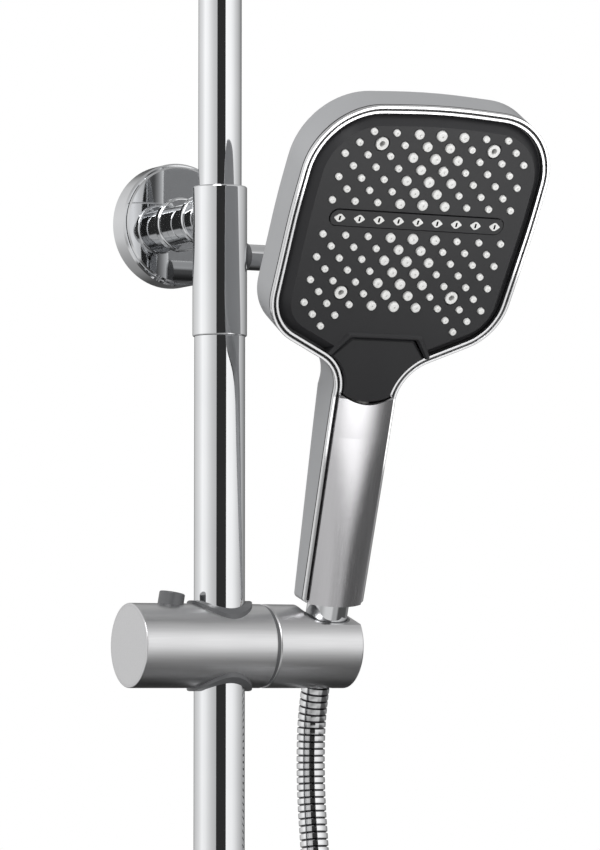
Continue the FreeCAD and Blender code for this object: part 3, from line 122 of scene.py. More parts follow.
# Depth from which the trim is painted dark all round as shade in the joint, and the cosine from which a
# face looks ahead
TRIM_SHADE_DEPTH = 0.7 * TRIM_DEPTH
FRONT_COSINE = 0.7
PLATEAU = 2.1 * MM
NOZZLE_PROUD = 0.9 * MM
NOZZLE_PITCH = 12.2 * MM
NOZZLE_ROW = 6.05 * MM
BAR_TO_ROW = 8.95 * MM
NOZZLE_SMALL_R = 1.6 * MM
NOZZLE_LARGE_R = 2.25 * MM
NOZZLE_CENTRE_R = 2.5 * MM
NOZZLE_ROWS_ABOVE = 7
NOZZLE_ROWS_BELOW = 9
NOZZLE_COLUMNS = 9
NOZZLE_SIDES = 14
# One tip of unit radius from its foot, as (radius, height), down into its hole
TIP_STEPS = ((1.0, 0.16), (0.92, 0.26), (0.6, 0.3), (0.24, 0.31), (0.19, 0.06), (0.1, 0.03))

# Jets of the bar: from its end to the first one, half a slit's width and height, and how far the painted
# shade in the slits runs past their walls
BAR_LENGTH = 94.5 * MM
JET_END = 4.8 * MM
JET_COUNT = 9
JET_PITCH = (BAR_LENGTH - 2 * JET_END) / (JET_COUNT - 1)
JET_PROUD = 0.9 * MM
JET_SLIT_HALF = (0.5 * MM, 1.15 * MM)
JET_SHADE_SPILL = 0.05 * MM


def linear(hex_colour):
    """Linear RGBA of an sRGB hex colour."""
    channels = [int(hex_colour[i : i + 2], 16) / 255 for i in (1, 3, 5)]
    return [c / 12.92 if c <= 0.04045 else ((c + 0.055) / 1.055) ** 2.4 for c in channels] + [1.0]


def feed(tree, node, inputs):
    """Sets a node's inputs to values, or links them from sockets."""
    for socket, value in inputs.items():
        if isinstance(value, bpy.types.NodeSocket):
            tree.links.new(value, node.inputs[socket])
        else:
            node.inputs[socket].default_value = value


def add_node(tree, kind, inputs=None, **settings):
    """A node with its settings and its inputs."""
    node = tree.nodes.new(kind)
    for name, value in settings.items():
        setattr(node, name, value)
    feed(tree, node, inputs or {})
    return node


def blank(name):
    """A new material, with its tree, its shader and its Object coordinates."""
    material = bpy.data.materials.new(name)
    material.use_nodes = True
    tree = material.node_tree
    where = add_node(tree, "ShaderNodeTexCoord").outputs["Object"]
    return material, tree, tree.nodes["Principled BSDF"], where


def per(size_mm):
    """Scale of a pattern whose grains are about a size in millimetres."""
    return 1 / (size_mm * MM)


def polished_chrome():
    """Bright chrome plate on polished brass: a mirror, with a faint ripple and wiped-off water marks."""
    material, tree, shader, where = blank("polished_chrome_plate")
    cloud = add_node(tree, "ShaderNodeTexNoise", {"Vector": where, "Scale": per(40)}).outputs[0]
    marks = add_node(tree, "ShaderNodeTexNoise", {"Vector": where, "Scale": per(14)}).outputs[0]
    ripple = {"Vector": where, "Scale": per(9), "Detail": 1.0}
    wave = add_node(tree, "ShaderNodeTexNoise", ripple).outputs[0]
    tones = {SHARE: cloud, FIRST: linear("#D6D7D9"), SECOND: linear("#E0E1E2")}
    colour = add_node(tree, "ShaderNodeMix", tones, data_type="RGBA").outputs[MIXED]
    gloss = {"Value": marks, "To Min": 0.02, "To Max": 0.06}
    rough = add_node(tree, "ShaderNodeMapRange", gloss).outputs[0]
    relief = {"Height": wave, "Distance": 0.02 * MM, "Strength": 0.1}
    bump = add_node(tree, "ShaderNodeBump", relief).outputs[0]
    feed(tree, shader, {"Base Color": colour, "Roughness": rough, "Normal": bump, "Metallic": 1.0})
    return material


def satin_chrome():
    """Satin chrome on turned zinc: a soft sheen with fine lines along the axis.

    The lines are drawn 0.5 mm apart, coarser than the real ones, so that they show.
    """
    material, tree, shader, where = blank("satin_chrome_plate")
    along = {"Vector": where, "Scale": (1 / 60, 1.0, 1.0)}
    drawn = add_node(tree, "ShaderNodeMapping", along).outputs[0]
    lines = add_node(tree, "ShaderNodeTexNoise", {"Vector": drawn, "Scale": per(0.5)}).outputs[0]
    cloud = add_node(tree, "ShaderNodeTexNoise", {"Vector": where, "Scale": per(25)}).outputs[0]
    tones = {SHARE: lines, FIRST: linear("#CBCBCC"), SECOND: linear("#DADADB")}
    colour = add_node(tree, "ShaderNodeMix", tones, data_type="RGBA").outputs[MIXED]
    gloss = {"Value": cloud, "To Min": 0.27, "To Max": 0.35}
    rough = add_node(tree, "ShaderNodeMapRange", gloss).outputs[0]
    relief = {"Height": lines, "Distance": 0.01 * MM, "Strength": 0.25}
    bump = add_node(tree, "ShaderNodeBump", relief).outputs[0]
    feed(tree, shader, {"Base Color": colour, "Roughness": rough, "Normal": bump, "Metallic": 1.0})
    return material


def trim_chrome():
    """Bright chrome on moulded ABS with soft edges, and painted shade, near black, in the groove and the
    joint below.

    The painted shade lies deeper than half the groove on what faces the front, and all round the foot.
    """
    material, tree, shader, where = blank("trim_chrome_plate_painted_shade")
    depths = []
    for at, tilt in ((HEAD_AT, HEAD_TILT), (HANDLE_AT, HANDLE_TILT)):
        rear = Vector((0.0, math.cos(tilt), math.sin(tilt)))
        inputs = {0: where, 1: rear}
        along = add_node(tree, "ShaderNodeVectorMath", inputs, operation="DOT_PRODUCT").outputs["Value"]
        inputs = {0: along, 1: at.dot(rear)}
        depths.append(add_node(tree, "ShaderNodeMath", inputs, operation="SUBTRACT").outputs[0])
    depth = add_node(tree, "ShaderNodeMath", {0: depths[0], 1: depths[1]}, operation="MAXIMUM").outputs[0]
    middle = (HEAD_TILT + HANDLE_TILT) / 2
    forward = (0.0, -math.cos(middle), -math.sin(middle))
    normal = add_node(tree, "ShaderNodeNewGeometry").outputs["True Normal"]
    facing = add_node(tree, "ShaderNodeVectorMath", {0: normal, 1: forward}, operation="DOT_PRODUCT")
    facing = facing.outputs["Value"]
    front = {0: facing, 1: FRONT_COSINE}
    ahead = add_node(tree, "ShaderNodeMath", front, operation="GREATER_THAN").outputs[0]
    # Painted shade: dark on the groove's floor where it faces the front, and all round the joint at the
    # foot
    half = TRIM_GROOVE / 2
    sunk = add_node(tree, "ShaderNodeMath", {0: depth, 1: half}, operation="GREATER_THAN").outputs[0]
    floor = add_node(tree, "ShaderNodeMath", {0: ahead, 1: sunk}, operation="MULTIPLY").outputs[0]
    foot = add_node(tree, "ShaderNodeMath", {0: depth, 1: TRIM_SHADE_DEPTH}, operation="GREATER_THAN").outputs[0]
    black = add_node(tree, "ShaderNodeMath", {0: floor, 1: foot}, operation="MAXIMUM").outputs[0]
    cloud = add_node(tree, "ShaderNodeTexNoise", {"Vector": where, "Scale": per(30)}).outputs[0]
    tones = {SHARE: cloud, FIRST: linear("#DADADB"), SECOND: linear("#E4E4E5")}
    plate = add_node(tree, "ShaderNodeMix", tones, data_type="RGBA").outputs[MIXED]
    tones = {SHARE: black, FIRST: plate, SECOND: linear("#0C0C0D")}
    colour = add_node(tree, "ShaderNodeMix", tones, data_type="RGBA").outputs[MIXED]
    gloss = {"Value": black, "To Min": 0.08, "To Max": 0.5}
    rough = add_node(tree, "ShaderNodeMapRange", gloss).outputs[0]
    metal = add_node(tree, "ShaderNodeMath", {0: 1.0, 1: black}, operation="SUBTRACT").outputs[0]
    soft = add_node(tree, "ShaderNodeBevel", {"Radius": TRIM_EDGE_R}, samples=6).outputs[0]
    feed(tree, shader, {"Base Color": colour, "Roughness": rough, "Metallic": metal, "Normal": soft})
    return material


def brushed_cover():
    """Chromed ABS brushed along the handle: long fine scratches, drawn 0.4 mm apart so that they show."""
    material, tree, shader, where = blank("brushed_chrome_cover")
    upright = {"Vector": where, "Rotation": (-HANDLE_TILT, 0.0, 0.0)}
    turned = add_node(tree, "ShaderNodeMapping", upright).outputs[0]
    along = {"Vector": turned, "Scale": (1.0, 1.0, 1 / 150)}
    drawn = add_node(tree, "ShaderNodeMapping", along).outputs[0]
    lines = add_node(tree, "ShaderNodeTexNoise", {"Vector": drawn, "Scale": per(0.4)}).outputs[0]
    tones = {SHARE: lines, FIRST: linear("#C9C8CA"), SECOND: linear("#D9D8DA")}
    colour = add_node(tree, "ShaderNodeMix", tones, data_type="RGBA").outputs[MIXED]
    gloss = {"Value": lines, "To Min": 0.2, "To Max": 0.3}
    rough = add_node(tree, "ShaderNodeMapRange", gloss).outputs[0]
    relief = {"Height": lines, "Distance": 0.01 * MM, "Strength": 0.25}
    bump = add_node(tree, "ShaderNodeBump", relief).outputs[0]
    feed(tree, shader, {"Base Color": colour, "Roughness": rough, "Normal": bump, "Metallic": 1.0})
    return material


def shell_grey():
    """Satin grey lacquer with metal flake on moulded ABS: an even grey, its fine grain drawn at 0.4 mm."""
    material, tree, shader, where = blank("satin_grey_shell")
    cloud = add_node(tree, "ShaderNodeTexNoise", {"Vector": where, "Scale": per(35)}).outputs[0]
    grain = add_node(tree, "ShaderNodeTexNoise", {"Vector": where, "Scale": per(0.4)}).outputs[0]
    tones = {SHARE: cloud, FIRST: linear("#ACADAF"), SECOND: linear("#B4B5B7")}
    colour = add_node(tree, "ShaderNodeMix", tones, data_type="RGBA").outputs[MIXED]
    gloss = {"Value": grain, "To Min": 0.4, "To Max": 0.48}
    rough = add_node(tree, "ShaderNodeMapRange", gloss).outputs[0]
    relief = {"Height": grain, "Distance": 0.01 * MM, "Strength": 0.2}
    bump = add_node(tree, "ShaderNodeBump", relief).outputs[0]
    feed(tree, shader, {"Base Color": colour, "Roughness": rough, "Normal": bump, "Metallic": 0.35})
    return material


def face_black():
    """Black ABS from a spark-eroded mould: matte, with a grain drawn at 0.35 mm."""
    material, tree, shader, where = blank("matte_black_abs")
    cloud = add_node(tree, "ShaderNodeTexNoise", {"Vector": where, "Scale": per(25)}).outputs[0]
    grain = add_node(tree, "ShaderNodeTexNoise", {"Vector": where, "Scale": per(0.35)}).outputs[0]
    tones = {SHARE: cloud, FIRST: linear("#252527"), SECOND: linear("#2B2B2D")}
    colour = add_node(tree, "ShaderNodeMix", tones, data_type="RGBA").outputs[MIXED]
    gloss = {"Value": grain, "To Min": 0.36, "To Max": 0.46}
    rough = add_node(tree, "ShaderNodeMapRange", gloss).outputs[0]
    relief = {"Height": grain, "Distance": 0.02 * MM, "Strength": 0.2}
    bump = add_node(tree, "ShaderNodeBump", relief).outputs[0]
    feed(tree, shader, {"Base Color": colour, "Roughness": rough, "Normal": bump})
    feed(tree, shader, {"IOR": 1.53, "Specular IOR Level": 0.32})
    return material


def nozzle_silicone():
    """White liquid silicone rubber: soft and slightly waxy, with a faint lime film."""
    material, tree, shader, where = blank("white_silicone")
    film = add_node(tree, "ShaderNodeTexNoise", {"Vector": where, "Scale": per(6)}).outputs[0]
    tones = {SHARE: film, FIRST: linear("#E6E6E4"), SECOND: linear("#F2F2F1")}
    colour = add_node(tree, "ShaderNodeMix", tones, data_type="RGBA").outputs[MIXED]
    gloss = {"Value": film, "To Min": 0.4, "To Max": 0.55}
    rough = add_node(tree, "ShaderNodeMapRange", gloss).outputs[0]
    feed(tree, shader, {"Base Color": colour, "Roughness": rough, "IOR": 1.41})
    return material


def jet_silicone():
    """The bar's jets: the nozzles' white silicone, with near-black painted shade down the slits."""
    material, tree, shader, where = blank("white_silicone_jets_painted_shade")
    rear = Vector((0.0, math.cos(HEAD_TILT), math.sin(HEAD_TILT)))
    up = Vector((0.0, -math.sin(HEAD_TILT), math.cos(HEAD_TILT)))
    offsets = []
    for axis in (Vector((1.0, 0.0, 0.0)), up, rear):
        along = add_node(tree, "ShaderNodeVectorMath", {0: where, 1: axis}, operation="DOT_PRODUCT")
        inputs = {0: along.outputs["Value"], 1: HEAD_AT.dot(axis)}
        offsets.append(add_node(tree, "ShaderNodeMath", inputs, operation="SUBTRACT").outputs[0])
    across, height, depth = offsets
    near = add_node(tree, "ShaderNodeMath", {0: across, 1: JET_PITCH / 2}, operation="PINGPONG").outputs[0]
    rise = add_node(tree, "ShaderNodeMath", {0: height}, operation="ABSOLUTE").outputs[0]
    tip = -PLATEAU - JET_PROUD
    # Painted shade: dark inside each slit, from a little below the tip's face inwards
    black = 1.0
    for offset, limit, side in (
        (near, JET_SLIT_HALF[0] + JET_SHADE_SPILL, "LESS_THAN"),
        (rise, JET_SLIT_HALF[1] + JET_SHADE_SPILL, "LESS_THAN"),
        (depth, tip + JET_SHADE_SPILL, "GREATER_THAN"),
    ):
        within = add_node(tree, "ShaderNodeMath", {0: offset, 1: limit}, operation=side).outputs[0]
        black = add_node(tree, "ShaderNodeMath", {0: black, 1: within}, operation="MULTIPLY").outputs[0]
    film = add_node(tree, "ShaderNodeTexNoise", {"Vector": where, "Scale": per(6)}).outputs[0]
    tones = {SHARE: film, FIRST: linear("#E6E6E4"), SECOND: linear("#F2F2F1")}
    white = add_node(tree, "ShaderNodeMix", tones, data_type="RGBA").outputs[MIXED]
    tones = {SHARE: black, FIRST: white, SECOND: linear("#0A0A0B")}
    colour = add_node(tree, "ShaderNodeMix", tones, data_type="RGBA").outputs[MIXED]
    gloss = {"Value": film, "To Min": 0.4, "To Max": 0.55}
    rough = add_node(tree, "ShaderNodeMapRange", gloss).outputs[0]
    feed(tree, shader, {"Base Color": colour, "Roughness": rough, "IOR": 1.41})
    return material


def dark_rubber():
    """Grey nylon of the liners and the button: a satin dark grey, its moulded grain drawn at 0.5 mm."""
    material, tree, shader, where = blank("dark_grey_nylon")
    cloud = add_node(tree, "ShaderNodeTexNoise", {"Vector": where, "Scale": per(12)}).outputs[0]
    grain = add_node(tree, "ShaderNodeTexNoise", {"Vector": where, "Scale": per(0.5)}).outputs[0]
    tones = {SHARE: cloud, FIRST: linear("#58595B"), SECOND: linear("#616264")}
    colour = add_node(tree, "ShaderNodeMix", tones, data_type="RGBA").outputs[MIXED]
    gloss = {"Value": grain, "To Min": 0.28, "To Max": 0.38}
    rough = add_node(tree, "ShaderNodeMapRange", gloss).outputs[0]
    relief = {"Height": grain, "Distance": 0.015 * MM, "Strength": 0.2}
    bump = add_node(tree, "ShaderNodeBump", relief).outputs[0]
    feed(tree, shader, {"Base Color": colour, "Roughness": rough, "Normal": bump, "IOR": 1.53})
    return material


def brass_fitting():
    """Turned brass: yellow metal with lathe rings, drawn 0.4 mm apart."""
    material, tree, shader, where = blank("turned_brass")
    around = {"Vector": where, "Scale": (1 / 30, 1 / 30, 1.0)}
    spun = add_node(tree, "ShaderNodeMapping", around).outputs[0]
    rings = add_node(tree, "ShaderNodeTexNoise", {"Vector": spun, "Scale": per(0.4)}).outputs[0]
    tones = {SHARE: rings, FIRST: linear("#B8914C"), SECOND: linear("#CDA863")}
    colour = add_node(tree, "ShaderNodeMix", tones, data_type="RGBA").outputs[MIXED]
    gloss = {"Value": rings, "To Min": 0.22, "To Max": 0.36}
    rough = add_node(tree, "ShaderNodeMapRange", gloss).outputs[0]
    relief = {"Height": rings, "Distance": 0.015 * MM, "Strength": 0.3}
    bump = add_node(tree, "ShaderNodeBump", relief).outputs[0]
    feed(tree, shader, {"Base Color": colour, "Roughness": rough, "Normal": bump, "Metallic": 1.0})
    return material


def steel_hardware():
    """Drawn stainless steel: plain grey metal with a soft blotch from pickling."""
    material, tree, shader, where = blank("stainless_steel")
    blotch = add_node(tree, "ShaderNodeTexNoise", {"Vector": where, "Scale": per(5)}).outputs[0]
    tones = {SHARE: blotch, FIRST: linear("#A9A9A8"), SECOND: linear("#BCBCBA")}
    colour = add_node(tree, "ShaderNodeMix", tones, data_type="RGBA").outputs[MIXED]
    gloss = {"Value": blotch, "To Min": 0.25, "To Max": 0.4}
    rough = add_node(tree, "ShaderNodeMapRange", gloss).outputs[0]
    feed(tree, shader, {"Base Color": colour, "Roughness": rough, "Metallic": 1.0})
    return material


def white_plastic():
    """White acetal and polypropylene inside the shower: waxy and dull."""
    material, tree, shader, where = blank("white_acetal")
    cloud = add_node(tree, "ShaderNodeTexNoise", {"Vector": where, "Scale": per(10)}).outputs[0]
    grain = add_node(tree, "ShaderNodeTexNoise", {"Vector": where, "Scale": per(0.8)}).outputs[0]
    tones = {SHARE: cloud, FIRST: linear("#DCDCD8"), SECOND: linear("#E8E8E5")}
    colour = add_node(tree, "ShaderNodeMix", tones, data_type="RGBA").outputs[MIXED]
    gloss = {"Value": grain, "To Min": 0.35, "To Max": 0.5}
    rough = add_node(tree, "ShaderNodeMapRange", gloss).outputs[0]
    feed(tree, shader, {"Base Color": colour, "Roughness": rough, "IOR": 1.48})
    return material


def hose_metal():
    """Chromed interlocked steel strip: bright crowns, with dark painted shade in the grooves of the lock.
    """
    material, tree, shader, where = blank("chromed_steel_strip_painted_shade")
    film = add_node(tree, "ShaderNodeTexNoise", {"Vector": where, "Scale": per(3)}).outputs[0]
    tones = {SHARE: film, FIRST: linear("#D2D3D4"), SECOND: linear("#E2E2E3")}
    plate = add_node(tree, "ShaderNodeMix", tones, data_type="RGBA").outputs[MIXED]
    # Painted shade: darker the deeper each point lies in the grooves between the ribs
    groove = add_node(tree, "ShaderNodeAttribute", attribute_name="groove").outputs["Fac"]
    tones = {SHARE: groove, FIRST: plate, SECOND: linear("#4A4A4C")}
    colour = add_node(tree, "ShaderNodeMix", tones, data_type="RGBA").outputs[MIXED]
    gloss = {"Value": film, "To Min": 0.06, "To Max": 0.14}
    rough = add_node(tree, "ShaderNodeMapRange", gloss).outputs[0]
    feed(tree, shader, {"Base Color": colour, "Roughness": rough, "Metallic": 1.0})
    return material


def tie_black():
    """Black nylon tie: slightly glossy, with fine cross ribs drawn 0.8 mm apart."""
    material, tree, shader, where = blank("black_nylon")
    across = {"Vector": where, "Scale": (1.0, 1 / 20, 1 / 20)}
    drawn = add_node(tree, "ShaderNodeMapping", across).outputs[0]
    ribs = add_node(tree, "ShaderNodeTexNoise", {"Vector": drawn, "Scale": per(0.8)}).outputs[0]
    tones = {SHARE: ribs, FIRST: linear("#18181A"), SECOND: linear("#222225")}
    colour = add_node(tree, "ShaderNodeMix", tones, data_type="RGBA").outputs[MIXED]
    gloss = {"Value": ribs, "To Min": 0.35, "To Max": 0.5}
    rough = add_node(tree, "ShaderNodeMapRange", gloss).outputs[0]
    relief = {"Height": ribs, "Distance": 0.05 * MM, "Strength": 0.4}
    bump = add_node(tree, "ShaderNodeBump", relief).outputs[0]
    feed(tree, shader, {"Base Color": colour, "Roughness": rough, "Normal": bump, "IOR": 1.53})
    return material


FINISHES = {
    "polished_chrome": polished_chrome(),
    "satin_chrome": satin_chrome(),
    "trim_chrome": trim_chrome(),
    "satin_cover": brushed_cover(),
    "shell_grey": shell_grey(),
    "face_black": face_black(),
    "nozzle_silicone": nozzle_silicone(),
    "dark_rubber": dark_rubber(),
    "brass_fitting": brass_fitting(),
    "steel_hardware": steel_hardware(),
    "white_plastic": white_plastic(),
    "hose_metal": hose_metal(),
    "tie_black": tie_black(),
}


def finish_parts():
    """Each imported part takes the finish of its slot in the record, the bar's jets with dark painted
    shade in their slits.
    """
    for subpart in frame["record"]["subparts"]:
        mesh = parts[subpart["node"]].data
        mesh.materials.clear()
        mesh.materials.append(FINISHES[subpart["material_slot"]])
    parts["bar_jets"].data.materials[0] = jet_silicone()


def dress(piece, slot):
    """Gives a new piece the finish of one of the record's slots."""
    piece.data.materials.clear()
    piece.data.materials.append(FINISHES[slot])


def add_camera():
    """The photograph's camera."""
    camera = bpy.data.objects.new("camera", bpy.data.cameras.new("camera"))
    bpy.context.scene.collection.objects.link(camera)
    camera.location = CAMERA_AT
    camera.rotation_euler = (math.radians(CAMERA_PITCH), 0.0, math.radians(CAMERA_TURN))
    camera.data.lens = LENS_MM
    camera.data.sensor_width = SENSOR_MM
    camera.data.sensor_fit = "AUTO"
    camera.data.clip_start = 0.05
    camera.data.clip_end = 50.0
    bpy.context.scene.camera = camera


def hose_line():
    """The hose's own line, a smooth spline along the route and round the coil."""
    points = [(HOSE_X, -depth * MM, height * MM) for depth, height in (HOSE_START, *HOSE_ROUTE)]
    step = 2 * math.pi / COIL_POINTS
    # The spline runs inside its points, so they stand off the coil's circle by what it cuts off
    reach = COIL_R * 8 / (6 + 2 * math.cos(step))
    middle = COIL_BACK - COIL_R
    last = COIL_TURNS * COIL_POINTS
    for i in range(last + 1):
        angle = i * step
        along = COIL_PITCH * i / COIL_POINTS
        # The last quarter turn splays out from the turn beside it
        splay = COIL_SPLAY * max(0.0, 1 - 4 * (last - i) / COIL_POINTS)
        depth = middle + reach * math.cos(angle)
        points.append((HOSE_X + along + splay, depth, COIL_TOP - reach * math.sin(angle)))
    end = points[-1]
    points.append((end[0], COIL_BACK, COIL_TOP - COIL_TAIL))
    curve = bpy.data.curves.new("hose_line", "CURVE")
    curve.dimensions = "3D"
    curve.resolution_u = 16
    spline = curve.splines.new("NURBS")
    spline.points.add(len(points) - 1)
    for point, place in zip(spline.points, points):
        point.co = (*place, 1.0)
    spline.order_u = 3
    spline.use_endpoint_u = True
    line = bpy.data.objects.new("hose_line", curve)
    bpy.context.scene.collection.objects.link(line)
    return line


def select_only(piece):
    """Makes a piece the only one selected, and the active one."""
    bpy.ops.object.select_all(action="DESELECT")
    piece.hide_set(False)
    piece.select_set(True)
    bpy.context.view_layer.objects.active = piece


def hose_rib(pitch):
    """One rib of the hose along X, with how deep each point lies in the groove."""
    bpy.ops.object.select_all(action="DESELECT")
    bpy.ops.mesh.primitive_circle_add(
        vertices=HOSE_SIDES, radius=HOSE_ROOT_R, rotation=(0.0, math.pi / 2, 0.0)
    )
    rib = bpy.context.active_object
    bpy.ops.object.transform_apply(rotation=True)
    bpy.ops.object.mode_set(mode="EDIT")
    bpy.ops.mesh.select_all(action="SELECT")
    radius = HOSE_ROOT_R
    at = 0.0
    for share, next_radius in RIB_STEPS:
        next_at = share * pitch
        bpy.ops.mesh.extrude_region_move(TRANSFORM_OT_translate={"value": (next_at - at, 0.0, 0.0)})
        grow = next_radius / radius
        bpy.ops.transform.resize(value=(1.0, grow, grow), center_override=(next_at, 0.0, 0.0))
        radius = next_radius
        at = next_at
    bpy.ops.object.mode_set(mode="OBJECT")
    # The depth is what the hose's material turns into painted shade
    groove = rib.data.attributes.new("groove", "FLOAT", "POINT")
    for vertex, depth in zip(rib.data.vertices, groove.data):
        depth.value = (HOSE_R - vertex.co.yz.length) / (HOSE_R - HOSE_ROOT_R)
    return rib


def shower_hose():
    """Ribbed metal hose: one rib, repeated along the hose's length and bent to its line."""
    line = hose_line()
    path = [v.co.copy() for v in bpy.data.meshes.new_from_object(line).vertices]
    length = sum((b - a).length for a, b in zip(path, path[1:]))
    count = int(length / HOSE_PITCH)
    pitch = length / count
    hose = hose_rib(pitch)
    hose.name = "shower_hose"

    repeat = hose.modifiers.new("ribs", "ARRAY")
    repeat.count = count
    repeat.use_relative_offset = False
    repeat.use_constant_offset = True
    repeat.constant_offset_displace = (pitch, 0.0, 0.0)
    repeat.use_merge_vertices = True
    repeat.merge_threshold = RIB_MERGE
    bend = hose.modifiers.new("line", "CURVE")
    bend.object = line
    bend.deform_axis = "POS_X"
    select_only(hose)
    bpy.ops.object.modifier_apply(modifier=repeat.name)
    bpy.ops.object.modifier_apply(modifier=bend.name)
    bpy.ops.object.mode_set(mode="EDIT")
    bpy.ops.mesh.select_all(action="DESELECT")
    bpy.ops.mesh.select_mode(type="EDGE")
    bpy.ops.mesh.select_non_manifold()
    bpy.ops.mesh.fill_holes(sides=0)
    bpy.ops.mesh.select_all(action="SELECT")
    bpy.ops.mesh.normals_make_consistent(inside=False)
    bpy.ops.object.mode_set(mode="OBJECT")
    bpy.ops.object.shade_smooth_by_angle(angle=CREASE)
    bpy.data.objects.remove(line)

    dress(hose, "hose_metal")
    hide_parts("hose_free", "hose_coil")
    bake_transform(hose)


def button_spring(node, body):
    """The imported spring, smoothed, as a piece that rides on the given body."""
    spring = bpy.data.objects.new(node + "_coil", parts[node].data.copy())
    bpy.context.scene.collection.objects.link(spring)
    select_only(spring)
    bpy.ops.object.mode_set(mode="EDIT")
    bpy.ops.mesh.select_all(action="SELECT")
    bpy.ops.mesh.remove_doubles(threshold=SPRING_MERGE)
    bpy.ops.object.mode_set(mode="OBJECT")
    bpy.ops.object.shade_smooth_by_angle(angle=CREASE)

    dress(spring, "steel_hardware")
    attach(spring, body)
    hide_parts(node)
    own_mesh(spring)


def nozzle_places():
    """Spray nozzles on the face as (across, height, radius), in rows of alternate length off the bar."""
    places = []
    for side, rows in ((1, NOZZLE_ROWS_ABOVE), (-1, NOZZLE_ROWS_BELOW)):
        for row in range(1, rows + 1):
            height = side * (BAR_TO_ROW + (row - 1) * NOZZLE_ROW)
            columns = NOZZLE_COLUMNS if row % 2 else NOZZLE_COLUMNS - 1
            for column in range(1, columns + 1):
                from_edge = min(column, columns + 1 - column)
                # The top row lacks its ends, and the button and the mist nozzles keep their places clear
                corner = row == NOZZLE_ROWS_ABOVE and side > 0 and from_edge == 1
                beside_button = (row == 8 and from_edge > 2) or (row == 9 and from_edge != 2)
                mist = row == 6 and from_edge == 2
                if corner or beside_button or mist:
                    continue
                # The middle columns are larger
                radius = {5: NOZZLE_CENTRE_R, 4: NOZZLE_LARGE_R}.get(from_edge, NOZZLE_SMALL_R)
                places.append(((column - (columns + 1) / 2) * NOZZLE_PITCH, height, radius))
    return places


def nozzle_tip():
    """One soft tip of unit radius: low and flat, with a rounded rim and a hole where the jet leaves."""
    bpy.ops.object.select_all(action="DESELECT")
    bpy.ops.mesh.primitive_circle_add(vertices=NOZZLE_SIDES, radius=1.0, fill_type="NGON")
    tip = bpy.context.active_object
    bpy.ops.object.mode_set(mode="EDIT")
    bpy.ops.mesh.select_all(action="SELECT")
    radius = 1.0
    height = 0.0
    for next_radius, next_height in TIP_STEPS:
        lift = (0.0, 0.0, next_height - height)
        bpy.ops.mesh.extrude_region_move(TRANSFORM_OT_translate={"value": lift})
        grow = next_radius / radius
        bpy.ops.transform.resize(value=(grow, grow, 1.0), center_override=(0.0, 0.0, next_height))
        radius = next_radius
        height = next_height
    bpy.ops.mesh.select_all(action="SELECT")
    bpy.ops.mesh.normals_make_consistent(inside=False)
    bpy.ops.object.mode_set(mode="OBJECT")
    bpy.ops.object.shade_smooth_by_angle(angle=NOZZLE_CREASE)
    return tip


def nozzle_tips():
    """Soft tips on all the spray nozzles."""
    tip = nozzle_tip()
    lie = Matrix.Rotation(HEAD_TILT, 4, "X") @ Matrix.Rotation(math.pi / 2, 4, "X")
    copies = []
    for across, height, radius in nozzle_places():
        copy = tip.copy()
        copy.data = tip.data.copy()
        place = Matrix.Rotation(HEAD_TILT, 3, "X") @ Vector((across, -PLATEAU - NOZZLE_PROUD, height))
        copy.data.transform(Matrix.Translation(HEAD_AT + place) @ lie @ Matrix.Scale(radius, 4))
        bpy.context.scene.collection.objects.link(copy)
        copies.append(copy)
    bpy.data.objects.remove(tip)
    bpy.ops.object.select_all(action="DESELECT")
    for copy in copies:
        copy.select_set(True)
    bpy.context.view_layer.objects.active = copies[0]
    bpy.ops.object.join()
    tips = bpy.context.active_object
    tips.name = "nozzle_tips"
    dress(tips, "nozzle_silicone")
    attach(tips, "handset")


# What the metal sees of the studio, by the angle round from the camera, and by height
STUDIO_ROUND = (
    (-180, 0.1),
    (-166, 0.16),
    (-150, 0.68),
    (-128, 0.85),
    (-105, 1.02),
    (-84, 1.34),
    (-64, 1.22),
    (-48, 1.0),
    (-33, 0.82),
    (-13, 0.66),
    (31, 1.36),
    (60, 1.28),
    (75, 1.12),
    (95, 0.84),
    (115, 0.64),
    (140, 0.35),
    (166, 0.12),
    (180, 0.1),
)
STUDIO_HEIGHT = (
    (-90, 0.1),
    (-75, 0.07),
    (-52, 0.14),
    (-31, 0.36),
    (-14, 0.66),
    (-6, 0.88),
    (10, 1.0),
    (22, 1.0),
    (36, 0.7),
    (50, 0.5),
    (90, 0.45),
)
# Cards in front of it, dark or bright: from and to round, from and to in height, soft edges, radiance
STUDIO_CARDS = (
    (-110, 30, -46, -25, 14, 10, 0.8),
    (64, 140, -66, -10, 16, 8, 0.1),
    (104, 150, -46, -33, 8, 6, 0.75),
    (-13, 31, -15, 38, 1.5, 4, 0.035),
)
# Heights between which the bands fade into the even grey overhead
OVERHEAD_FROM = math.radians(18)
OVERHEAD_FULL = math.radians(48)
ROOM_LIGHT = (0.6, 0.6, 0.6, 1.0)
WHITE = (1.0, 1.0, 1.0, 1.0)

# A large key above the camera, and two small fills low on the right with narrower spreads
SOFTBOXES = (
    {
        "name": "key",
        "at": (-0.9, -1.2, 1.0),
        "target": (0.03, -0.1, -0.1),
        "width": 0.9,
        "height": 0.9,
        "spread": 180,
        "watts": 16.0,
    },
    {
        "name": "low_fill",
        "at": (0.2, -0.42, -0.197),
        "target": (0.097, -0.14, 0.123),
        "width": 0.28,
        "height": 0.22,
        "spread": 70,
        "watts": 0.09,
    },
    {
        "name": "trim_fill",
        "at": (0.169, -0.253, -0.177),
        "target": (0.073, -0.162, -0.027),
        "width": 0.2,
        "height": 0.2,
        "spread": 36,
        "watts": 0.0046,
    },
)

# Floor, and what is added to it for the camera alone
FLOOR_R = 2.4
FLOOR_AT = (0.0, -0.6, -1.3)
FLOOR_SIDES = 96
FLOOR_GLOW = 0.36


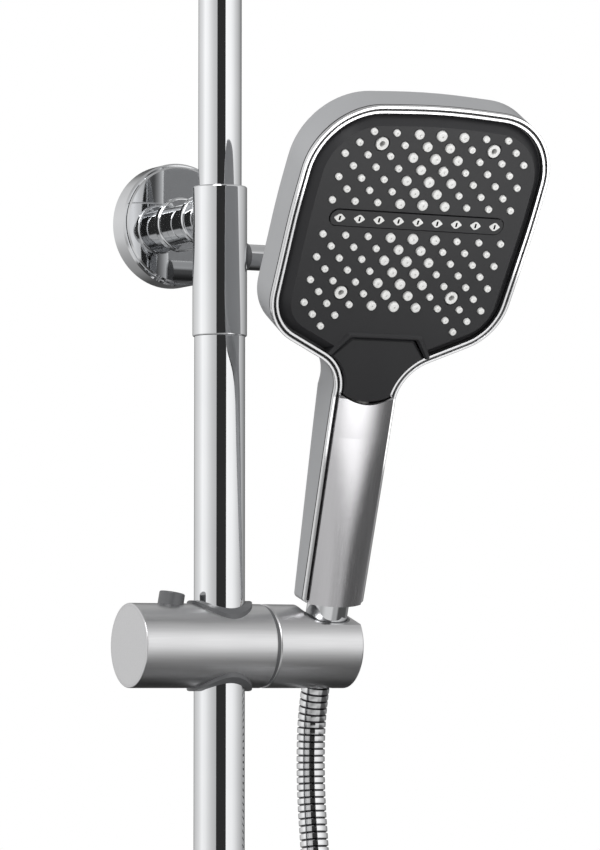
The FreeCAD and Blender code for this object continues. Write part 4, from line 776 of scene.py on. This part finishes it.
def add_studio():
    """White to the camera, and to the metal a bright studio with its cards, an even grey overhead."""
    world = bpy.data.worlds.new("studio")
    bpy.context.scene.world = world
    world.use_nodes = True
    tree = world.node_tree
    direction = add_node(tree, "ShaderNodeTexCoord").outputs["Generated"]
    turned = {"Vector": direction, "Rotation": (0.0, 0.0, -math.radians(CAMERA_TURN))}
    faced = add_node(tree, "ShaderNodeMapping", turned).outputs[0]
    split = add_node(tree, "ShaderNodeSeparateXYZ", {"Vector": faced}).outputs
    towards = add_node(tree, "ShaderNodeMath", {0: split["Y"], 1: -1.0}, operation="MULTIPLY").outputs[0]
    turn = add_node(tree, "ShaderNodeMath", {0: split["X"], 1: towards}, operation="ARCTAN2").outputs[0]
    rise = add_node(tree, "ShaderNodeMath", {0: split["Z"]}, operation="ARCSINE").outputs[0]
    whole = {"Value": turn, "From Min": -math.pi, "From Max": math.pi}
    around = add_node(tree, "ShaderNodeMapRange", whole).outputs[0]
    half = {"Value": rise, "From Min": -math.pi / 2, "From Max": math.pi / 2}
    above = add_node(tree, "ShaderNodeMapRange", half).outputs[0]
    bands = add_node(tree, "ShaderNodeValToRGB", {"Fac": around})
    levels = add_node(tree, "ShaderNodeValToRGB", {"Fac": above})
    for ramp, stops in ((bands, STUDIO_ROUND), (levels, STUDIO_HEIGHT)):
        elements = ramp.color_ramp.elements
        elements.remove(elements[-1])
        start = stops[0][0]
        end = stops[-1][0]
        for i, (degrees, grey) in enumerate(stops):
            place = (degrees - start) / (end - start)
            stop = elements[0] if i == 0 else elements.new(place)
            stop.position = place
            stop.color = (grey, grey, grey, 1.0)
    overhead = {"Value": rise, "From Min": OVERHEAD_FROM, "From Max": OVERHEAD_FULL}
    overhead = add_node(tree, "ShaderNodeMapRange", overhead, interpolation_type="SMOOTHSTEP").outputs[0]
    even = {SHARE: overhead, FIRST: bands.outputs["Color"], SECOND: WHITE}
    even = add_node(tree, "ShaderNodeMix", even, data_type="RGBA").outputs[MIXED]
    seen = {SHARE: 1.0, FIRST: even, SECOND: levels.outputs["Color"]}
    product = add_node(tree, "ShaderNodeMix", seen, data_type="RGBA", blend_type="MULTIPLY")
    seen = product.outputs[MIXED]

    for left, right, bottom, top, round_edge, height_edge, grey in STUDIO_CARDS:
        share = 1.0
        for angle, edge, inward in (
            (turn, left, round_edge),
            (turn, right, -round_edge),
            (rise, bottom, height_edge),
            (rise, top, -height_edge),
        ):
            outside = math.radians(edge - inward / 2)
            inside = math.radians(edge + inward / 2)
            limits = {"Value": angle, "From Min": outside, "From Max": inside}
            step = add_node(tree, "ShaderNodeMapRange", limits, interpolation_type="SMOOTHSTEP").outputs[0]
            share = add_node(tree, "ShaderNodeMath", {0: share, 1: step}, operation="MULTIPLY").outputs[0]
        card = {SHARE: share, FIRST: seen, SECOND: (grey, grey, grey, 1.0)}
        seen = add_node(tree, "ShaderNodeMix", card, data_type="RGBA").outputs[MIXED]
    ray = add_node(tree, "ShaderNodeLightPath").outputs
    shiny = {0: ray["Is Glossy Ray"], 1: ray["Is Transmission Ray"]}
    shiny = add_node(tree, "ShaderNodeMath", shiny, operation="MAXIMUM").outputs[0]
    lit = {SHARE: shiny, FIRST: ROOM_LIGHT, SECOND: seen}
    lit = add_node(tree, "ShaderNodeMix", lit, data_type="RGBA").outputs[MIXED]
    shown = {SHARE: ray["Is Camera Ray"], FIRST: lit, SECOND: WHITE}
    shown = add_node(tree, "ShaderNodeMix", shown, data_type="RGBA").outputs[MIXED]
    feed(tree, tree.nodes["Background"], {"Color": shown})


def add_softbox(name, at, target, width, height, spread, watts):
    """A softbox that faces a point, its grid letting the light out within an angle."""
    light = bpy.data.lights.new(name, "AREA")
    light.shape = "RECTANGLE"
    light.size = width
    light.size_y = height
    light.spread = math.radians(spread)
    light.energy = watts
    lamp = bpy.data.objects.new(name, light)
    bpy.context.scene.collection.objects.link(lamp)
    lamp.location = at
    lamp.rotation_euler = (Vector(target) - Vector(at)).to_track_quat("-Z", "Y").to_euler()
    lamp.visible_camera = False


def add_floor():
    """Plain pale floor, well below the part, which hangs on a wall. The camera alone sees it paler."""
    material, tree, shader, where = blank("pale_floor")
    cloud = add_node(tree, "ShaderNodeTexNoise", {"Vector": where, "Scale": per(400)}).outputs[0]
    tones = {SHARE: cloud, FIRST: linear("#E6E6E5"), SECOND: linear("#ECECEB")}
    colour = add_node(tree, "ShaderNodeMix", tones, data_type="RGBA").outputs[MIXED]
    glow = {0: add_node(tree, "ShaderNodeLightPath").outputs["Is Camera Ray"], 1: FLOOR_GLOW}
    glow = add_node(tree, "ShaderNodeMath", glow, operation="MULTIPLY").outputs[0]
    feed(tree, shader, {"Base Color": colour, "Roughness": 0.8})
    feed(tree, shader, {"Emission Color": WHITE, "Emission Strength": glow})
    bpy.ops.object.select_all(action="DESELECT")
    bpy.ops.mesh.primitive_circle_add(
        vertices=FLOOR_SIDES, radius=FLOOR_R, fill_type="NGON", location=FLOOR_AT
    )
    floor = bpy.context.active_object
    floor.name = "floor"
    floor.data.materials.append(material)
    floor.visible_glossy = False


add_camera()
finish_parts()
shower_hose()
nozzle_tips()
button_spring("release_spring", "slider")
button_spring("mode_spring", "handset")
add_studio()
for softbox in SOFTBOXES:
    add_softbox(**softbox)
add_floor()
bpy.context.scene.view_settings.view_transform = "Standard"
